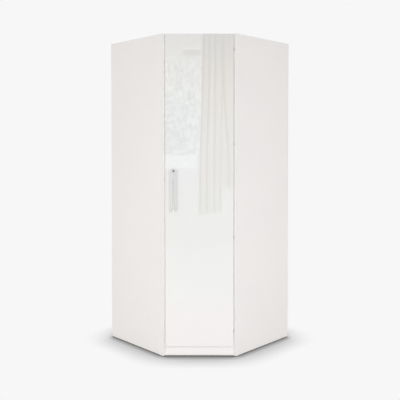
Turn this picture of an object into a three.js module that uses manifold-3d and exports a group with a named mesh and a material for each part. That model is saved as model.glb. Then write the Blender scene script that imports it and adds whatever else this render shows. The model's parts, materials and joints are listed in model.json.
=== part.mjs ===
// Corner wardrobe: a five-sided carcass that stands in the corner of a room, with a tall door on its front.
// Millimetres, +Z up. The door faces -Y and the two walls behind run away from the corner at 45 degrees.
// Plan places are worked out with Y zero on the door's front face. The last lines move the origin to the
// middle of the wardrobe's bounding box, on the floor.
import * as THREE from "three";
import { mergeVertices } from "three/addons/utils/BufferGeometryUtils.js";
import Module from "manifold-3d";

const wasm = await Module();
wasm.setup();

// Driving dimensions of the whole wardrobe
const HEIGHT = 2100;
const FRONT_WIDTH = 474; // between the outer front corners of the two end panels
const END_DEPTH = 558; // of each end, from its outer front corner to the wall
const BOARD = 18; // melamine faced chipboard
const BACK_BOARD = 3; // hardboard
const GLIDE_HEIGHT = 4;
const PLINTH_HEIGHT = 61;

// Clearances
const GAP = 0.3; // between two pieces that rest against each other
const DOOR_GAP = 3; // behind the door, to the front of the carcass
const FREE_SIDE_GAP = 2; // beside the door, on its handle side
const HINGE_SIDE_GAP = 4.5; // beside the door, on its hinge side
const DOOR_FOOT_GAP = 3; // from the underside of the base panel up to the door
const DOOR_HEAD_GAP = 2; // from the top of the door up to the top of the ends
const OVERRUN = 2; // how far a cut runs past the face that it opens

// Fittings
const SHELF = { hatSpace: 314, setback: 40 };
const POST = { side: 38 };
const BACK_JOINT = { height: 1050, slot: 3, lip: 12, lipThickness: 1 };
const RAIL = { behindDoor: 462, drop: 60, height: 30, width: 15, wall: 1.2, halfLength: 425 };
const BRACKET = { inset: 40, width: 14, flange: 50, plate: 3, wall: 3 };
const SUPPORT = { pinRadius: 2.5, pinDepth: 9, tabWidth: 10, tabDepth: 9, tabHeight: 12, endInset: 70 };
const CAM = { radius: 7.5, depth: 12.5, inset: 34, endInset: 60, slotWidth: 2.5, slotDepth: 2 };
const GLIDE = { radius: 8, endInset: 30 };
const LEG = { footRadius: 25, footHeight: 8, stemRadius: 16, headRadius: 28, headHeight: 6, backInset: 95 };
const BUMPER = { radius: 4, edgeInset: 16 };
const ANGLE = { side: 32, thickness: 2, width: 20, spread: 150 };
const HANDLE = {
  doorInset: 53,
  centreHeight: 1085,
  screwSpacing: 256,
  footLength: 20,
  width: 14,
  projection: 30,
  barThickness: 6,
  outerBend: 16,
  innerBend: 8,
};
const SCREW = { radius: 2, headRadius: 4.2, headHeight: 2.4, grip: 10, hollow: 1.4 };
const HINGE = {
  count: 4,
  endInset: 102, // from the end of the door to the middle of the nearest hinge
  edgeInset: 3, // from the door's edge to the cup
  cupRadius: 17.5,
  cupDepth: 12.5,
  cupFloor: 0.9,
  nearWall: 1.3,
  farWall: 1.8,
  pocketHalf: 5,
  flange: 1,
  flangeLip: 1.1,
  wingHalf: 30,
  wingWidth: 17,
  axisInset: 6.6, // from the door's edge to the hinge axis
  axisDepth: 9.4, // from the door's back face into the door
  pinRadius: 1,
  pinRunning: 0.15,
  pinReach: 2.3, // into each side of the cup
  eyeWall: 0.75,
  armThickness: 1.5,
  armHalf: 4.2,
  armBend: 15.5,
  armStart: 3, // degrees below the door's plane
  highEnd: 8,
  lowStart: 26,
  armEnd: 58,
  armLow: 9,
  channelHalf: 7,
  channelWall: 1,
  plateStart: 29,
  plateEnd: 55,
  plateThickness: 2.5,
  plateWing: 13,
};

// Plan and height values that follow from the sizes above
const BASE_BOTTOM = GLIDE_HEIGHT + PLINTH_HEIGHT;
const BASE_TOP = BASE_BOTTOM + BOARD;
const TOP_BOTTOM = HEIGHT - BOARD;
const SHELF_TOP = TOP_BOTTOM - SHELF.hatSpace;
const SHELF_BOTTOM = SHELF_TOP - BOARD;
const DOOR_BOTTOM = BASE_BOTTOM + DOOR_FOOT_GAP;
const DOOR_TOP = HEIGHT - DOOR_HEAD_GAP;
const CARCASS_FRONT = BOARD + DOOR_GAP;
const PLINTH_FRONT = BOARD * Math.SQRT1_2; // level with the inner front corners of the ends
const ROOM_CORNER = FRONT_WIDTH / 2 + END_DEPTH * Math.SQRT2;
const WALL_RUN = END_DEPTH + FRONT_WIDTH * Math.SQRT1_2;
const PANEL_DEPTH = END_DEPTH - BACK_BOARD - GAP;
const INNER_CORNER = FRONT_WIDTH / 2 - BOARD * Math.SQRT1_2;
const DOOR_FREE_EDGE = -INNER_CORNER + FREE_SIDE_GAP;
const DOOR_HINGE_EDGE = INNER_CORNER - HINGE_SIDE_GAP;
const HANDLE_MIDDLE = DOOR_FREE_EDGE + HANDLE.doorInset;
const RAIL_HEIGHT = SHELF_BOTTOM - RAIL.drop;
const RAIL_PLACE = BOARD + RAIL.behindDoor;
const ROUND_SIDES = 24;
const SMALL_SIDES = 12;
const BEND_STEPS = 5;
const WELD_DISTANCE = 0.0001; // corners this near each other are one corner

// Materials, one for each sort of stuff, with the colours of the photograph
function stuff(color, roughness, metalness) {
  return new THREE.MeshStandardMaterial({ color, roughness, metalness });
}

const MATERIALS = {
  board: stuff(0xebe9e6, 0.55, 0),
  gloss: stuff(0xf2f0ee, 0.08, 0),
  chrome: stuff(0xd2d3d5, 0.12, 1),
  nickel: stuff(0xb8b5ae, 0.32, 1),
  steel: stuff(0xa9aaac, 0.4, 1),
  hardboard: stuff(0x8d6a48, 0.85, 0),
  plastic: stuff(0xd9d8d4, 0.5, 0),
  felt: stuff(0xc9c7c1, 0.95, 0),
};

// A named piece, added to the group of the body that it belongs to
function addPiece(body, name, geometry, material) {
  const piece = new THREE.Mesh(geometry, material);
  piece.name = name;
  body.add(piece);
}

// Solids for the boolean cuts and joins
function solidOf(geometry) {
  const bare = geometry.clone();
  bare.deleteAttribute("normal");
  bare.deleteAttribute("uv");
  const merged = mergeVertices(bare, WELD_DISTANCE);
  const vertProperties = new Float32Array(merged.attributes.position.array);
  const triVerts = new Uint32Array(merged.index.array);
  return new wasm.Manifold(new wasm.Mesh({ numProp: 3, vertProperties, triVerts }));
}

function geometryOf(solid) {
  const mesh = solid.getMesh();
  const geometry = new THREE.BufferGeometry();
  geometry.setAttribute("position", new THREE.BufferAttribute(mesh.vertProperties, 3));
  geometry.setIndex(new THREE.BufferAttribute(mesh.triVerts, 1));
  geometry.computeVertexNormals();
  return geometry;
}

function joined(geometries) {
  const solids = geometries.map(solidOf);
  return geometryOf(solids.reduce((whole, next) => whole.add(next)));
}

function cut(geometry, tools) {
  const solids = tools.map(solidOf);
  return geometryOf(solids.reduce((whole, next) => whole.subtract(next), solidOf(geometry)));
}

// Plain shapes
function block(low, high) {
  const size = new THREE.Vector3().subVectors(high, low);
  const middle = new THREE.Vector3().addVectors(low, high).divideScalar(2);
  const geometry = new THREE.BoxGeometry(size.x, size.y, size.z);
  return geometry.translate(middle.x, middle.y, middle.z);
}

function prism(outline, bottom, top) {
  const geometry = new THREE.ExtrudeGeometry(new THREE.Shape(outline), {
    depth: top - bottom,
    bevelEnabled: false,
  });
  return geometry.translate(0, 0, bottom);
}

// A side profile, drawn in Y and Z, drawn out along X
function profileAlongX(shape, from, to) {
  const geometry = new THREE.ExtrudeGeometry(shape, {
    depth: to - from,
    bevelEnabled: false,
    curveSegments: BEND_STEPS,
  });
  const toYZX = new THREE.Matrix4().makeBasis(
    new THREE.Vector3(0, 1, 0),
    new THREE.Vector3(0, 0, 1),
    new THREE.Vector3(1, 0, 0),
  );
  return geometry.applyMatrix4(toYZX).translate(from, 0, 0);
}

// A round bar between two points
function bar(radius, from, to, sides) {
  const line = new THREE.Vector3().subVectors(to, from);
  const middle = new THREE.Vector3().addVectors(from, to).divideScalar(2);
  const geometry = new THREE.CylinderGeometry(radius, radius, line.length(), sides);
  const turn = new THREE.Quaternion().setFromUnitVectors(new THREE.Vector3(0, 1, 0), line.normalize());
  return geometry.applyQuaternion(turn).translate(middle.x, middle.y, middle.z);
}

// A turned piece, from a profile of radius and height
function turned(profile, sides) {
  const points = profile.map(([radius, height]) => new THREE.Vector2(radius, height));
  return new THREE.LatheGeometry(points, sides).rotateX(Math.PI / 2);
}

// Plan points. On an end, along runs back from the outer front corner and inward from the outer face.
// On a wall, along runs from the room corner and inward from the wall. Both are on the right-hand side.
function endPoint(along, inward) {
  const x = FRONT_WIDTH / 2 + (along - inward) * Math.SQRT1_2;
  return new THREE.Vector2(x, (along + inward) * Math.SQRT1_2);
}

function wallPoint(along, inward) {
  const y = ROOM_CORNER - (along + inward) * Math.SQRT1_2;
  return new THREE.Vector2((along - inward) * Math.SQRT1_2, y);
}

function inwardOnEnd(point) {
  return (point.y - point.x + FRONT_WIDTH / 2) * Math.SQRT1_2;
}

function rectangle(place, alongLow, alongHigh, inwardLow, inwardHigh) {
  return [
    place(alongLow, inwardLow),
    place(alongHigh, inwardLow),
    place(alongHigh, inwardHigh),
    place(alongLow, inwardHigh),
  ];
}

function onSide(side, outline) {
  return outline.map((point) => new THREE.Vector2(side.sign * point.x, point.y));
}

const SIDES = [
  { name: "left", sign: -1 },
  { name: "right", sign: 1 },
];

// Half the width between the end panels at a place behind the door
function halfWidthBetweenEnds(place) {
  return place + FRONT_WIDTH / 2 - (BOARD + GAP) * Math.SQRT2;
}

// Shelf pins: where each one is, and which way it points out of its panel
function supportPlaces() {
  const postFace = BACK_BOARD + GAP + POST.side;
  const postMiddle = BACK_BOARD + GAP + POST.side / 2;
  return SIDES.flatMap((side) => [
    { name: side.name + "_front", side, at: endPoint(SUPPORT.endInset, BOARD), turn: Math.PI * 0.75 },
    {
      name: side.name + "_rear",
      side,
      at: endPoint(PANEL_DEPTH - SUPPORT.endInset, BOARD),
      turn: Math.PI * 0.75,
    },
    { name: side.name + "_post", side, at: wallPoint(postFace, postMiddle), turn: -Math.PI * 0.25 },
  ]);
}

// A point given by its distance out of a panel's face, at a shelf pin's place
function supportPoint(place, outward, height) {
  const x = place.side.sign * (place.at.x + Math.cos(place.turn) * outward);
  return new THREE.Vector3(x, place.at.y + Math.sin(place.turn) * outward, height);
}

function supportPin(place, radius, outward, depth) {
  const height = SHELF_BOTTOM - SUPPORT.tabHeight / 2;
  const from = supportPoint(place, -depth, height);
  return bar(radius, from, supportPoint(place, outward, height), SMALL_SIDES);
}

function supportTab(place) {
  const out = new THREE.Vector2(Math.cos(place.turn), Math.sin(place.turn));
  const across = new THREE.Vector2(-out.y, out.x).multiplyScalar(SUPPORT.tabWidth / 2);
  const near = place.at.clone().addScaledVector(out, GAP);
  const far = near.clone().addScaledVector(out, SUPPORT.tabDepth);
  const outline = [
    near.clone().sub(across),
    far.clone().sub(across),
    far.clone().add(across),
    near.clone().add(across),
  ];
  return prism(onSide(place.side, outline), SHELF_BOTTOM - SUPPORT.tabHeight, SHELF_BOTTOM);
}

function addSupports(carcass) {
  for (const place of supportPlaces()) {
    const geometry = joined([
      supportTab(place),
      supportPin(place, SUPPORT.pinRadius, SUPPORT.tabDepth / 2, SUPPORT.pinDepth - GAP),
    ]);
    addPiece(carcass, "shelf_support_" + place.name, geometry, MATERIALS.nickel);
  }
}

function supportHoles(side, kinds) {
  const names = kinds.map((kind) => side.name + "_" + kind);
  const places = supportPlaces().filter((place) => names.includes(place.name));
  return places.map((place) => supportPin(place, SUPPORT.pinRadius + GAP, OVERRUN, SUPPORT.pinDepth));
}

// The boards of the carcass
function addEndPanels(carcass) {
  for (const side of SIDES) {
    const outline = onSide(side, rectangle(endPoint, 0, PANEL_DEPTH, 0, BOARD));
    const panel = prism(outline, GLIDE_HEIGHT, HEIGHT);
    const geometry = cut(panel, supportHoles(side, ["front", "rear"]));
    addPiece(carcass, side.name + "_end_panel", geometry, MATERIALS.board);
  }
}

function deckOutline(front) {
  const half = halfWidthBetweenEnds(front);
  const rear = wallPoint(WALL_RUN - BOARD - GAP, BACK_BOARD + GAP);
  return [
    new THREE.Vector2(-half, front),
    new THREE.Vector2(half, front),
    rear,
    wallPoint(BACK_BOARD + GAP, BACK_BOARD + GAP),
    new THREE.Vector2(-rear.x, rear.y),
  ];
}

function camPlaces() {
  const inward = BOARD + GAP + CAM.inset;
  const front = CARCASS_FRONT * Math.SQRT1_2 + CAM.endInset;
  const rear = PANEL_DEPTH - CAM.endInset;
  return SIDES.flatMap((side) => [
    { name: side.name + "_front", at: onSide(side, [endPoint(front, inward)])[0] },
    { name: side.name + "_rear", at: onSide(side, [endPoint(rear, inward)])[0] },
  ]);
}

function upright(radius, at, bottom, top, sides) {
  return bar(radius, new THREE.Vector3(at.x, at.y, bottom), new THREE.Vector3(at.x, at.y, top), sides);
}

function addDeck(carcass, name, bottom) {
  const holes = camPlaces().map(({ at }) =>
    upright(CAM.radius + GAP, at, bottom - OVERRUN, bottom + CAM.depth + GAP, ROUND_SIDES),
  );
  const deck = prism(deckOutline(CARCASS_FRONT), bottom, bottom + BOARD);
  addPiece(carcass, name + "_panel", cut(deck, holes), MATERIALS.board);
  for (const { name: place, at } of camPlaces()) {
    const slot = block(
      new THREE.Vector3(at.x - CAM.radius + GAP, at.y - CAM.slotWidth / 2, bottom - OVERRUN),
      new THREE.Vector3(at.x + CAM.radius - GAP, at.y + CAM.slotWidth / 2, bottom + CAM.slotDepth),
    );
    const cam = cut(upright(CAM.radius, at, bottom, bottom + CAM.depth, ROUND_SIDES), [slot]);
    addPiece(carcass, name + "_cam_" + place, cam, MATERIALS.nickel);
  }
}

function addPost(carcass) {
  const near = BACK_BOARD + GAP;
  const outline = rectangle(wallPoint, near, near + POST.side, near, near + POST.side);
  const holes = SIDES.flatMap((side) => supportHoles(side, ["post"]));
  addPiece(carcass, "rear_corner_post", cut(prism(outline, BASE_TOP, TOP_BOTTOM), holes), MATERIALS.board);
}

// The shelf's back corner is cut away round the post
function addShelf(carcass) {
  const front = CARCASS_FRONT + SHELF.setback;
  const half = halfWidthBetweenEnds(front);
  const rear = wallPoint(WALL_RUN - BOARD - GAP, BACK_BOARD + GAP);
  const notch = BACK_BOARD + POST.side + GAP + GAP;
  const right = [new THREE.Vector2(half, front), rear, wallPoint(notch, BACK_BOARD + GAP)];
  const outline = [...right, wallPoint(notch, notch), ...onSide(SIDES[0], right).reverse()];
  addPiece(carcass, "hat_shelf", prism(outline, SHELF_BOTTOM, SHELF_TOP), MATERIALS.board);
}

function addPlinth(carcass) {
  const back = PLINTH_FRONT + BOARD;
  const outline = [
    new THREE.Vector2(-halfWidthBetweenEnds(PLINTH_FRONT), PLINTH_FRONT),
    new THREE.Vector2(halfWidthBetweenEnds(PLINTH_FRONT), PLINTH_FRONT),
    new THREE.Vector2(halfWidthBetweenEnds(back), back),
    new THREE.Vector2(-halfWidthBetweenEnds(back), back),
  ];
  addPiece(carcass, "plinth_board", prism(outline, GLIDE_HEIGHT, BASE_BOTTOM), MATERIALS.gloss);
  for (const side of SIDES) {
    const shape = new THREE.Shape([
      new THREE.Vector2(back, BASE_BOTTOM),
      new THREE.Vector2(back, BASE_BOTTOM - ANGLE.side),
      new THREE.Vector2(back + ANGLE.thickness, BASE_BOTTOM - ANGLE.side),
      new THREE.Vector2(back + ANGLE.thickness, BASE_BOTTOM - ANGLE.thickness),
      new THREE.Vector2(back + ANGLE.side, BASE_BOTTOM - ANGLE.thickness),
      new THREE.Vector2(back + ANGLE.side, BASE_BOTTOM),
    ]);
    const middle = side.sign * ANGLE.spread;
    const geometry = profileAlongX(shape, middle - ANGLE.width / 2, middle + ANGLE.width / 2);
    addPiece(carcass, "plinth_bracket_" + side.name, geometry, MATERIALS.steel);
  }
}

// Each wall side has two hardboard sheets, with a joint strip of T section between them
function addBacks(carcass) {
  const near = BACK_BOARD + GAP;
  const jointLow = BACK_JOINT.height - BACK_JOINT.slot / 2;
  const jointHigh = BACK_JOINT.height + BACK_JOINT.slot / 2;
  for (const side of SIDES) {
    const sheet = onSide(side, rectangle(wallPoint, near, WALL_RUN, 0, BACK_BOARD));
    addPiece(carcass, side.name + "_back_lower", prism(sheet, BASE_BOTTOM, jointLow), MATERIALS.hardboard);
    addPiece(carcass, side.name + "_back_upper", prism(sheet, jointHigh, HEIGHT), MATERIALS.hardboard);
    const from = near + POST.side + GAP;
    const to = WALL_RUN - BOARD - GAP;
    const web = onSide(side, rectangle(wallPoint, from, to, GAP, near + BACK_JOINT.lipThickness));
    const lip = onSide(side, rectangle(wallPoint, from, to, near, near + BACK_JOINT.lipThickness));
    const geometry = joined([
      prism(web, jointLow + GAP, jointHigh - GAP),
      prism(lip, BACK_JOINT.height - BACK_JOINT.lip, BACK_JOINT.height + BACK_JOINT.lip),
    ]);
    addPiece(carcass, side.name + "_back_joint_strip", geometry, MATERIALS.plastic);
  }
}

// What the carcass stands on
function addFeet(carcass) {
  for (const side of SIDES) {
    const places = { front: GLIDE.endInset, rear: PANEL_DEPTH - GLIDE.endInset };
    for (const [place, along] of Object.entries(places)) {
      const at = onSide(side, [endPoint(along, BOARD / 2)])[0];
      const glide = upright(GLIDE.radius, at, 0, GLIDE_HEIGHT, ROUND_SIDES);
      addPiece(carcass, "glide_" + side.name + "_" + place, glide, MATERIALS.plastic);
    }
  }
  const profile = [
    [0, 0],
    [LEG.footRadius, 0],
    [LEG.footRadius, LEG.footHeight],
    [LEG.stemRadius, LEG.footHeight],
    [LEG.stemRadius, BASE_BOTTOM - LEG.headHeight],
    [LEG.headRadius, BASE_BOTTOM - LEG.headHeight],
    [LEG.headRadius, BASE_BOTTOM],
    [0, BASE_BOTTOM],
  ];
  const middle = (CARCASS_FRONT + ROOM_CORNER) / 2;
  const rear = wallPoint(LEG.backInset, LEG.backInset).y;
  addPiece(carcass, "centre_leg", turned(profile, ROUND_SIDES).translate(0, middle, 0), MATERIALS.plastic);
  addPiece(carcass, "rear_leg", turned(profile, ROUND_SIDES).translate(0, rear, 0), MATERIALS.plastic);
}

// The oval rail hangs from the shelf, across the wardrobe behind the door
function ovalShape(width, height) {
  const radius = width / 2;
  const rise = height / 2 - radius;
  const shape = new THREE.Shape();
  shape.absarc(RAIL_PLACE, RAIL_HEIGHT + rise, radius, 0, Math.PI, false);
  shape.absarc(RAIL_PLACE, RAIL_HEIGHT - rise, radius, Math.PI, 2 * Math.PI, false);
  shape.closePath();
  return shape;
}

function addRail(carcass) {
  const inner = 2 * RAIL.wall;
  const tube = ovalShape(RAIL.width, RAIL.height);
  tube.holes.push(ovalShape(RAIL.width - inner, RAIL.height - inner));
  addPiece(carcass, "hanging_rail", profileAlongX(tube, -RAIL.halfLength, RAIL.halfLength), MATERIALS.chrome);
  const ring = 2 * (GAP + BRACKET.wall);
  for (const side of SIDES) {
    const middle = side.sign * (RAIL.halfLength - BRACKET.inset);
    const from = middle - BRACKET.width / 2;
    const to = middle + BRACKET.width / 2;
    const hole = ovalShape(RAIL.width + 2 * GAP, RAIL.height + 2 * GAP);
    const flange = block(
      new THREE.Vector3(from, RAIL_PLACE - BRACKET.flange / 2, SHELF_BOTTOM - BRACKET.plate),
      new THREE.Vector3(to, RAIL_PLACE + BRACKET.flange / 2, SHELF_BOTTOM),
    );
    const stem = block(
      new THREE.Vector3(from, RAIL_PLACE - BRACKET.plate, RAIL_HEIGHT + RAIL.height / 2),
      new THREE.Vector3(to, RAIL_PLACE + BRACKET.plate, SHELF_BOTTOM - BRACKET.plate / 2),
    );
    const collar = profileAlongX(ovalShape(RAIL.width + ring, RAIL.height + ring), from, to);
    const bore = profileAlongX(hole, from - OVERRUN, to + OVERRUN);
    const geometry = cut(joined([flange, stem, collar]), [bore]);
    addPiece(carcass, "rail_bracket_" + side.name, geometry, MATERIALS.chrome);
  }
}

// Two pads take the closing door, on the handle side
function addBumpers(carcass) {
  const heights = { lower: BASE_BOTTOM + BOARD / 2, upper: HEIGHT - BOARD / 2 };
  for (const [name, height] of Object.entries(heights)) {
    const x = DOOR_FREE_EDGE + BUMPER.edgeInset;
    const from = new THREE.Vector3(x, BOARD + GAP, height);
    const to = new THREE.Vector3(x, CARCASS_FRONT, height);
    addPiece(carcass, "door_bumper_" + name, bar(BUMPER.radius, from, to, SMALL_SIDES), MATERIALS.felt);
  }
}

// Concealed hinges. Inset runs from the door's hinge edge towards its middle, and depth from its back face
// into the board.
function hingePoint(inset, depth) {
  return new THREE.Vector2(DOOR_HINGE_EDGE - inset, BOARD - depth);
}

function hingeHeights() {
  const low = DOOR_BOTTOM + HINGE.endInset;
  const high = DOOR_TOP - HINGE.endInset;
  const step = (high - low) / (HINGE.count - 1);
  return Array.from({ length: HINGE.count }, (_, index) => low + step * index);
}

const HINGE_AXIS = hingePoint(HINGE.axisInset, HINGE.axisDepth);
const CUP_INSET = HINGE.edgeInset + HINGE.cupRadius;
const PIN_BORE = HINGE.pinRadius + HINGE.pinRunning;
const ARM_TOP = HINGE.armLow + HINGE.armThickness / 2;
const ARM_UNDERSIDE = HINGE.armLow - HINGE.armThickness / 2;

function cupDisc(radius, frontDepth, backDepth, height) {
  const front = hingePoint(CUP_INSET, frontDepth);
  const back = hingePoint(CUP_INSET, backDepth);
  const from = new THREE.Vector3(front.x, front.y, height);
  return bar(radius, from, new THREE.Vector3(back.x, back.y, height), ROUND_SIDES);
}

function hingeBlock(insetLow, insetHigh, frontDepth, backDepth, height, half) {
  const low = hingePoint(insetHigh, frontDepth);
  const high = hingePoint(insetLow, backDepth);
  return block(
    new THREE.Vector3(low.x, low.y, height - half),
    new THREE.Vector3(high.x, high.y, height + half),
  );
}

function hingeCup(height) {
  const radius = HINGE.cupRadius;
  const wingLow = CUP_INSET - HINGE.wingWidth / 2;
  const boss = joined([
    cupDisc(radius, HINGE.cupDepth, 0, height),
    cupDisc(radius + HINGE.flangeLip, 0, -HINGE.flange, height),
    hingeBlock(wingLow, wingLow + HINGE.wingWidth, 0, -HINGE.flange, height, HINGE.wingHalf),
  ]);
  const pocketNear = HINGE.edgeInset + HINGE.nearWall;
  const pocketFar = HINGE.edgeInset + 2 * radius - HINGE.farWall;
  const pocketDepth = HINGE.cupDepth - HINGE.cupFloor;
  const boreReach = HINGE.pocketHalf + HINGE.pinReach + GAP;
  return cut(boss, [
    hingeBlock(pocketNear, pocketFar, pocketDepth, -OVERRUN, height, HINGE.pocketHalf),
    upright(PIN_BORE, HINGE_AXIS, height - boreReach, height + boreReach, SMALL_SIDES),
  ]);
}

function hingePin(height) {
  const reach = HINGE.pocketHalf + HINGE.pinReach;
  return upright(HINGE.pinRadius, HINGE_AXIS, height - reach, height + reach, SMALL_SIDES);
}

// The outline of a strip of even thickness along a run of plan points
function stripOutline(run, thickness) {
  const steps = run.slice(1).map((point, index) => point.clone().sub(run[index]).normalize());
  const offsets = run.map((_, index) => {
    const before = steps[Math.max(index - 1, 0)];
    const after = steps[Math.min(index, steps.length - 1)];
    const sum = before.clone().add(after);
    const normal = new THREE.Vector2(-sum.y, sum.x);
    return normal.multiplyScalar(thickness / (1 + before.dot(after)) / 2);
  });
  const left = run.map((point, index) => point.clone().add(offsets[index]));
  const right = run.map((point, index) => point.clone().sub(offsets[index]));
  return [...left, ...right.reverse()];
}

// The arm starts at the pin inside the cup, bends round the door's edge and runs back along the end panel
function armRun() {
  const start = Math.PI + THREE.MathUtils.degToRad(HINGE.armStart);
  const finish = Math.PI * 0.75;
  const bend = Array.from({ length: BEND_STEPS + 1 }, (_, index) => {
    const angle = start + ((finish - start) * index) / BEND_STEPS;
    const reach = new THREE.Vector2(Math.cos(angle), Math.sin(angle)).multiplyScalar(HINGE.armBend);
    return HINGE_AXIS.clone().add(reach);
  });
  const high = inwardOnEnd(HINGE_AXIS) + HINGE.armBend;
  const low = BOARD + HINGE.armLow;
  const rest = [
    endPoint(HINGE.highEnd, high),
    endPoint(HINGE.lowStart, low),
    endPoint(HINGE.armEnd, low),
  ];
  return [HINGE_AXIS.clone(), ...bend, ...rest];
}

function panelBlock(alongLow, alongHigh, outLow, outHigh, bottom, top) {
  return prism(rectangle(endPoint, alongLow, alongHigh, BOARD + outLow, BOARD + outHigh), bottom, top);
}

function hingeArm(height) {
  const { channelHalf, channelWall, lowStart, armEnd, armHalf } = HINGE;
  const wallFoot = GAP + HINGE.plateThickness + GAP;
  const eye = PIN_BORE + HINGE.eyeWall;
  const inner = channelHalf - channelWall;
  const arm = joined([
    prism(stripOutline(armRun(), HINGE.armThickness), height - armHalf, height + armHalf),
    upright(eye, HINGE_AXIS, height - armHalf, height + armHalf, SMALL_SIDES),
    panelBlock(lowStart, armEnd, ARM_UNDERSIDE, ARM_TOP, height - channelHalf, height + channelHalf),
    panelBlock(lowStart, armEnd, wallFoot, ARM_TOP, height - channelHalf, height - inner),
    panelBlock(lowStart, armEnd, wallFoot, ARM_TOP, height + inner, height + channelHalf),
  ]);
  return cut(arm, [upright(PIN_BORE, HINGE_AXIS, height - channelHalf, height + channelHalf, SMALL_SIDES)]);
}

function hingePlate(height) {
  const { plateStart, plateEnd, plateThickness, wingHalf, plateWing } = HINGE;
  const rib = HINGE.channelHalf - HINGE.channelWall - GAP;
  const top = GAP + plateThickness;
  const middle = (plateStart + plateEnd) / 2;
  const wingLow = middle - plateWing / 2;
  const wingHigh = middle + plateWing / 2;
  return joined([
    panelBlock(plateStart, plateEnd, GAP, top, height - HINGE.channelHalf, height + HINGE.channelHalf),
    panelBlock(wingLow, wingHigh, GAP, top, height - wingHalf, height + wingHalf),
    panelBlock(plateStart, plateEnd, GAP, ARM_UNDERSIDE - GAP, height - rib, height + rib),
  ]);
}

function addHinges(carcass, door) {
  hingeHeights().forEach((height, index) => {
    const number = index + 1;
    addPiece(door, "hinge_cup_" + number, hingeCup(height), MATERIALS.nickel);
    addPiece(door, "hinge_pin_" + number, hingePin(height), MATERIALS.steel);
    addPiece(carcass, "hinge_arm_" + number, hingeArm(height), MATERIALS.nickel);
    addPiece(carcass, "hinge_plate_" + number, hingePlate(height), MATERIALS.nickel);
  });
}

// The door and its handle
function screwHeights() {
  const half = HANDLE.screwSpacing / 2;
  return { lower: HANDLE.centreHeight - half, upper: HANDLE.centreHeight + half };
}

function screwBar(radius, front, back, height) {
  const from = new THREE.Vector3(HANDLE_MIDDLE, front, height);
  return bar(radius, from, new THREE.Vector3(HANDLE_MIDDLE, back, height), SMALL_SIDES);
}

function addDoorPanel(door) {
  const panel = block(
    new THREE.Vector3(DOOR_FREE_EDGE, 0, DOOR_BOTTOM),
    new THREE.Vector3(DOOR_HINGE_EDGE, BOARD, DOOR_TOP),
  );
  const recesses = hingeHeights().map((height) =>
    cupDisc(HINGE.cupRadius + GAP, HINGE.cupDepth + GAP, -OVERRUN, height),
  );
  const holes = Object.values(screwHeights()).map((height) =>
    screwBar(SCREW.radius + GAP, -OVERRUN, BOARD + OVERRUN, height),
  );
  addPiece(door, "door_panel", cut(panel, [...recesses, ...holes]), MATERIALS.gloss);
}

// The handle's side profile: two feet on the door and a bar that stands off it
function handleShape() {
  const { projection, outerBend, innerBend, barThickness, footLength, centreHeight } = HANDLE;
  const outer = (HANDLE.screwSpacing + footLength) / 2;
  const inner = outer - footLength;
  const grip = projection - barThickness;
  const outerMiddle = outer - outerBend;
  const innerMiddle = inner - innerBend;
  const shape = new THREE.Shape();
  shape.moveTo(0, centreHeight + inner);
  shape.lineTo(0, centreHeight + outer);
  shape.absarc(-projection + outerBend, centreHeight + outerMiddle, outerBend, Math.PI / 2, Math.PI, false);
  shape.absarc(-projection + outerBend, centreHeight - outerMiddle, outerBend, Math.PI, Math.PI * 1.5, false);
  shape.lineTo(0, centreHeight - outer);
  shape.lineTo(0, centreHeight - inner);
  shape.absarc(-grip + innerBend, centreHeight - innerMiddle, innerBend, Math.PI * 1.5, Math.PI, true);
  shape.absarc(-grip + innerBend, centreHeight + innerMiddle, innerBend, Math.PI, Math.PI / 2, true);
  shape.closePath();
  return shape;
}

function addHandle(door) {
  const half = HANDLE.width / 2;
  const bow = profileAlongX(handleShape(), HANDLE_MIDDLE - half, HANDLE_MIDDLE + half);
  const holes = Object.values(screwHeights()).map((height) =>
    screwBar(SCREW.radius + GAP, -SCREW.grip - GAP, OVERRUN, height),
  );
  addPiece(door, "handle", cut(bow, holes), MATERIALS.chrome);
  for (const [name, height] of Object.entries(screwHeights())) {
    const headMiddle = BOARD + SCREW.headHeight / 2;
    const headBack = BOARD + SCREW.headHeight;
    const solid = joined([
      screwBar(SCREW.radius, -SCREW.grip, headMiddle, height),
      screwBar(SCREW.headRadius, BOARD, headBack, height),
    ]);
    const drive = screwBar(SCREW.hollow, headMiddle, headBack + OVERRUN, height);
    addPiece(door, "handle_screw_" + name, cut(solid, [drive]), MATERIALS.steel);
  }
}

function buildWardrobe() {
  const wardrobe = new THREE.Group();
  const carcass = new THREE.Group();
  const door = new THREE.Group();
  wardrobe.add(carcass, door);
  addEndPanels(carcass);
  addDeck(carcass, "top", TOP_BOTTOM);
  addDeck(carcass, "base", BASE_BOTTOM);
  addPost(carcass);
  addShelf(carcass);
  addSupports(carcass);
  addPlinth(carcass);
  addBacks(carcass);
  addFeet(carcass);
  addRail(carcass);
  addBumpers(carcass);
  addDoorPanel(door);
  addHandle(door);
  addHinges(carcass, door);
  const rearmost = wallPoint(BACK_BOARD + GAP, 0).y;
  wardrobe.position.y = (HANDLE.projection - rearmost) / 2;
  return wardrobe;
}

export default buildWardrobe();
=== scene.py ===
"""Dresses the corner wardrobe and builds the studio round it.

The frame holds every solid at its real size. This script copies the boards, rounds their edges and gives
every face its own finish, makes the metal and plastic fittings finer, and adds the fastenings that the
solids leave out. Lengths are in metres, +Z is up and the door faces -Y.
"""

from __future__ import annotations

import json
import logging
import math
from collections.abc import Callable, Sequence
from dataclasses import dataclass, field
from enum import Enum
from functools import partial, reduce

import bmesh
import bpy
from mathutils import Matrix, Vector


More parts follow.
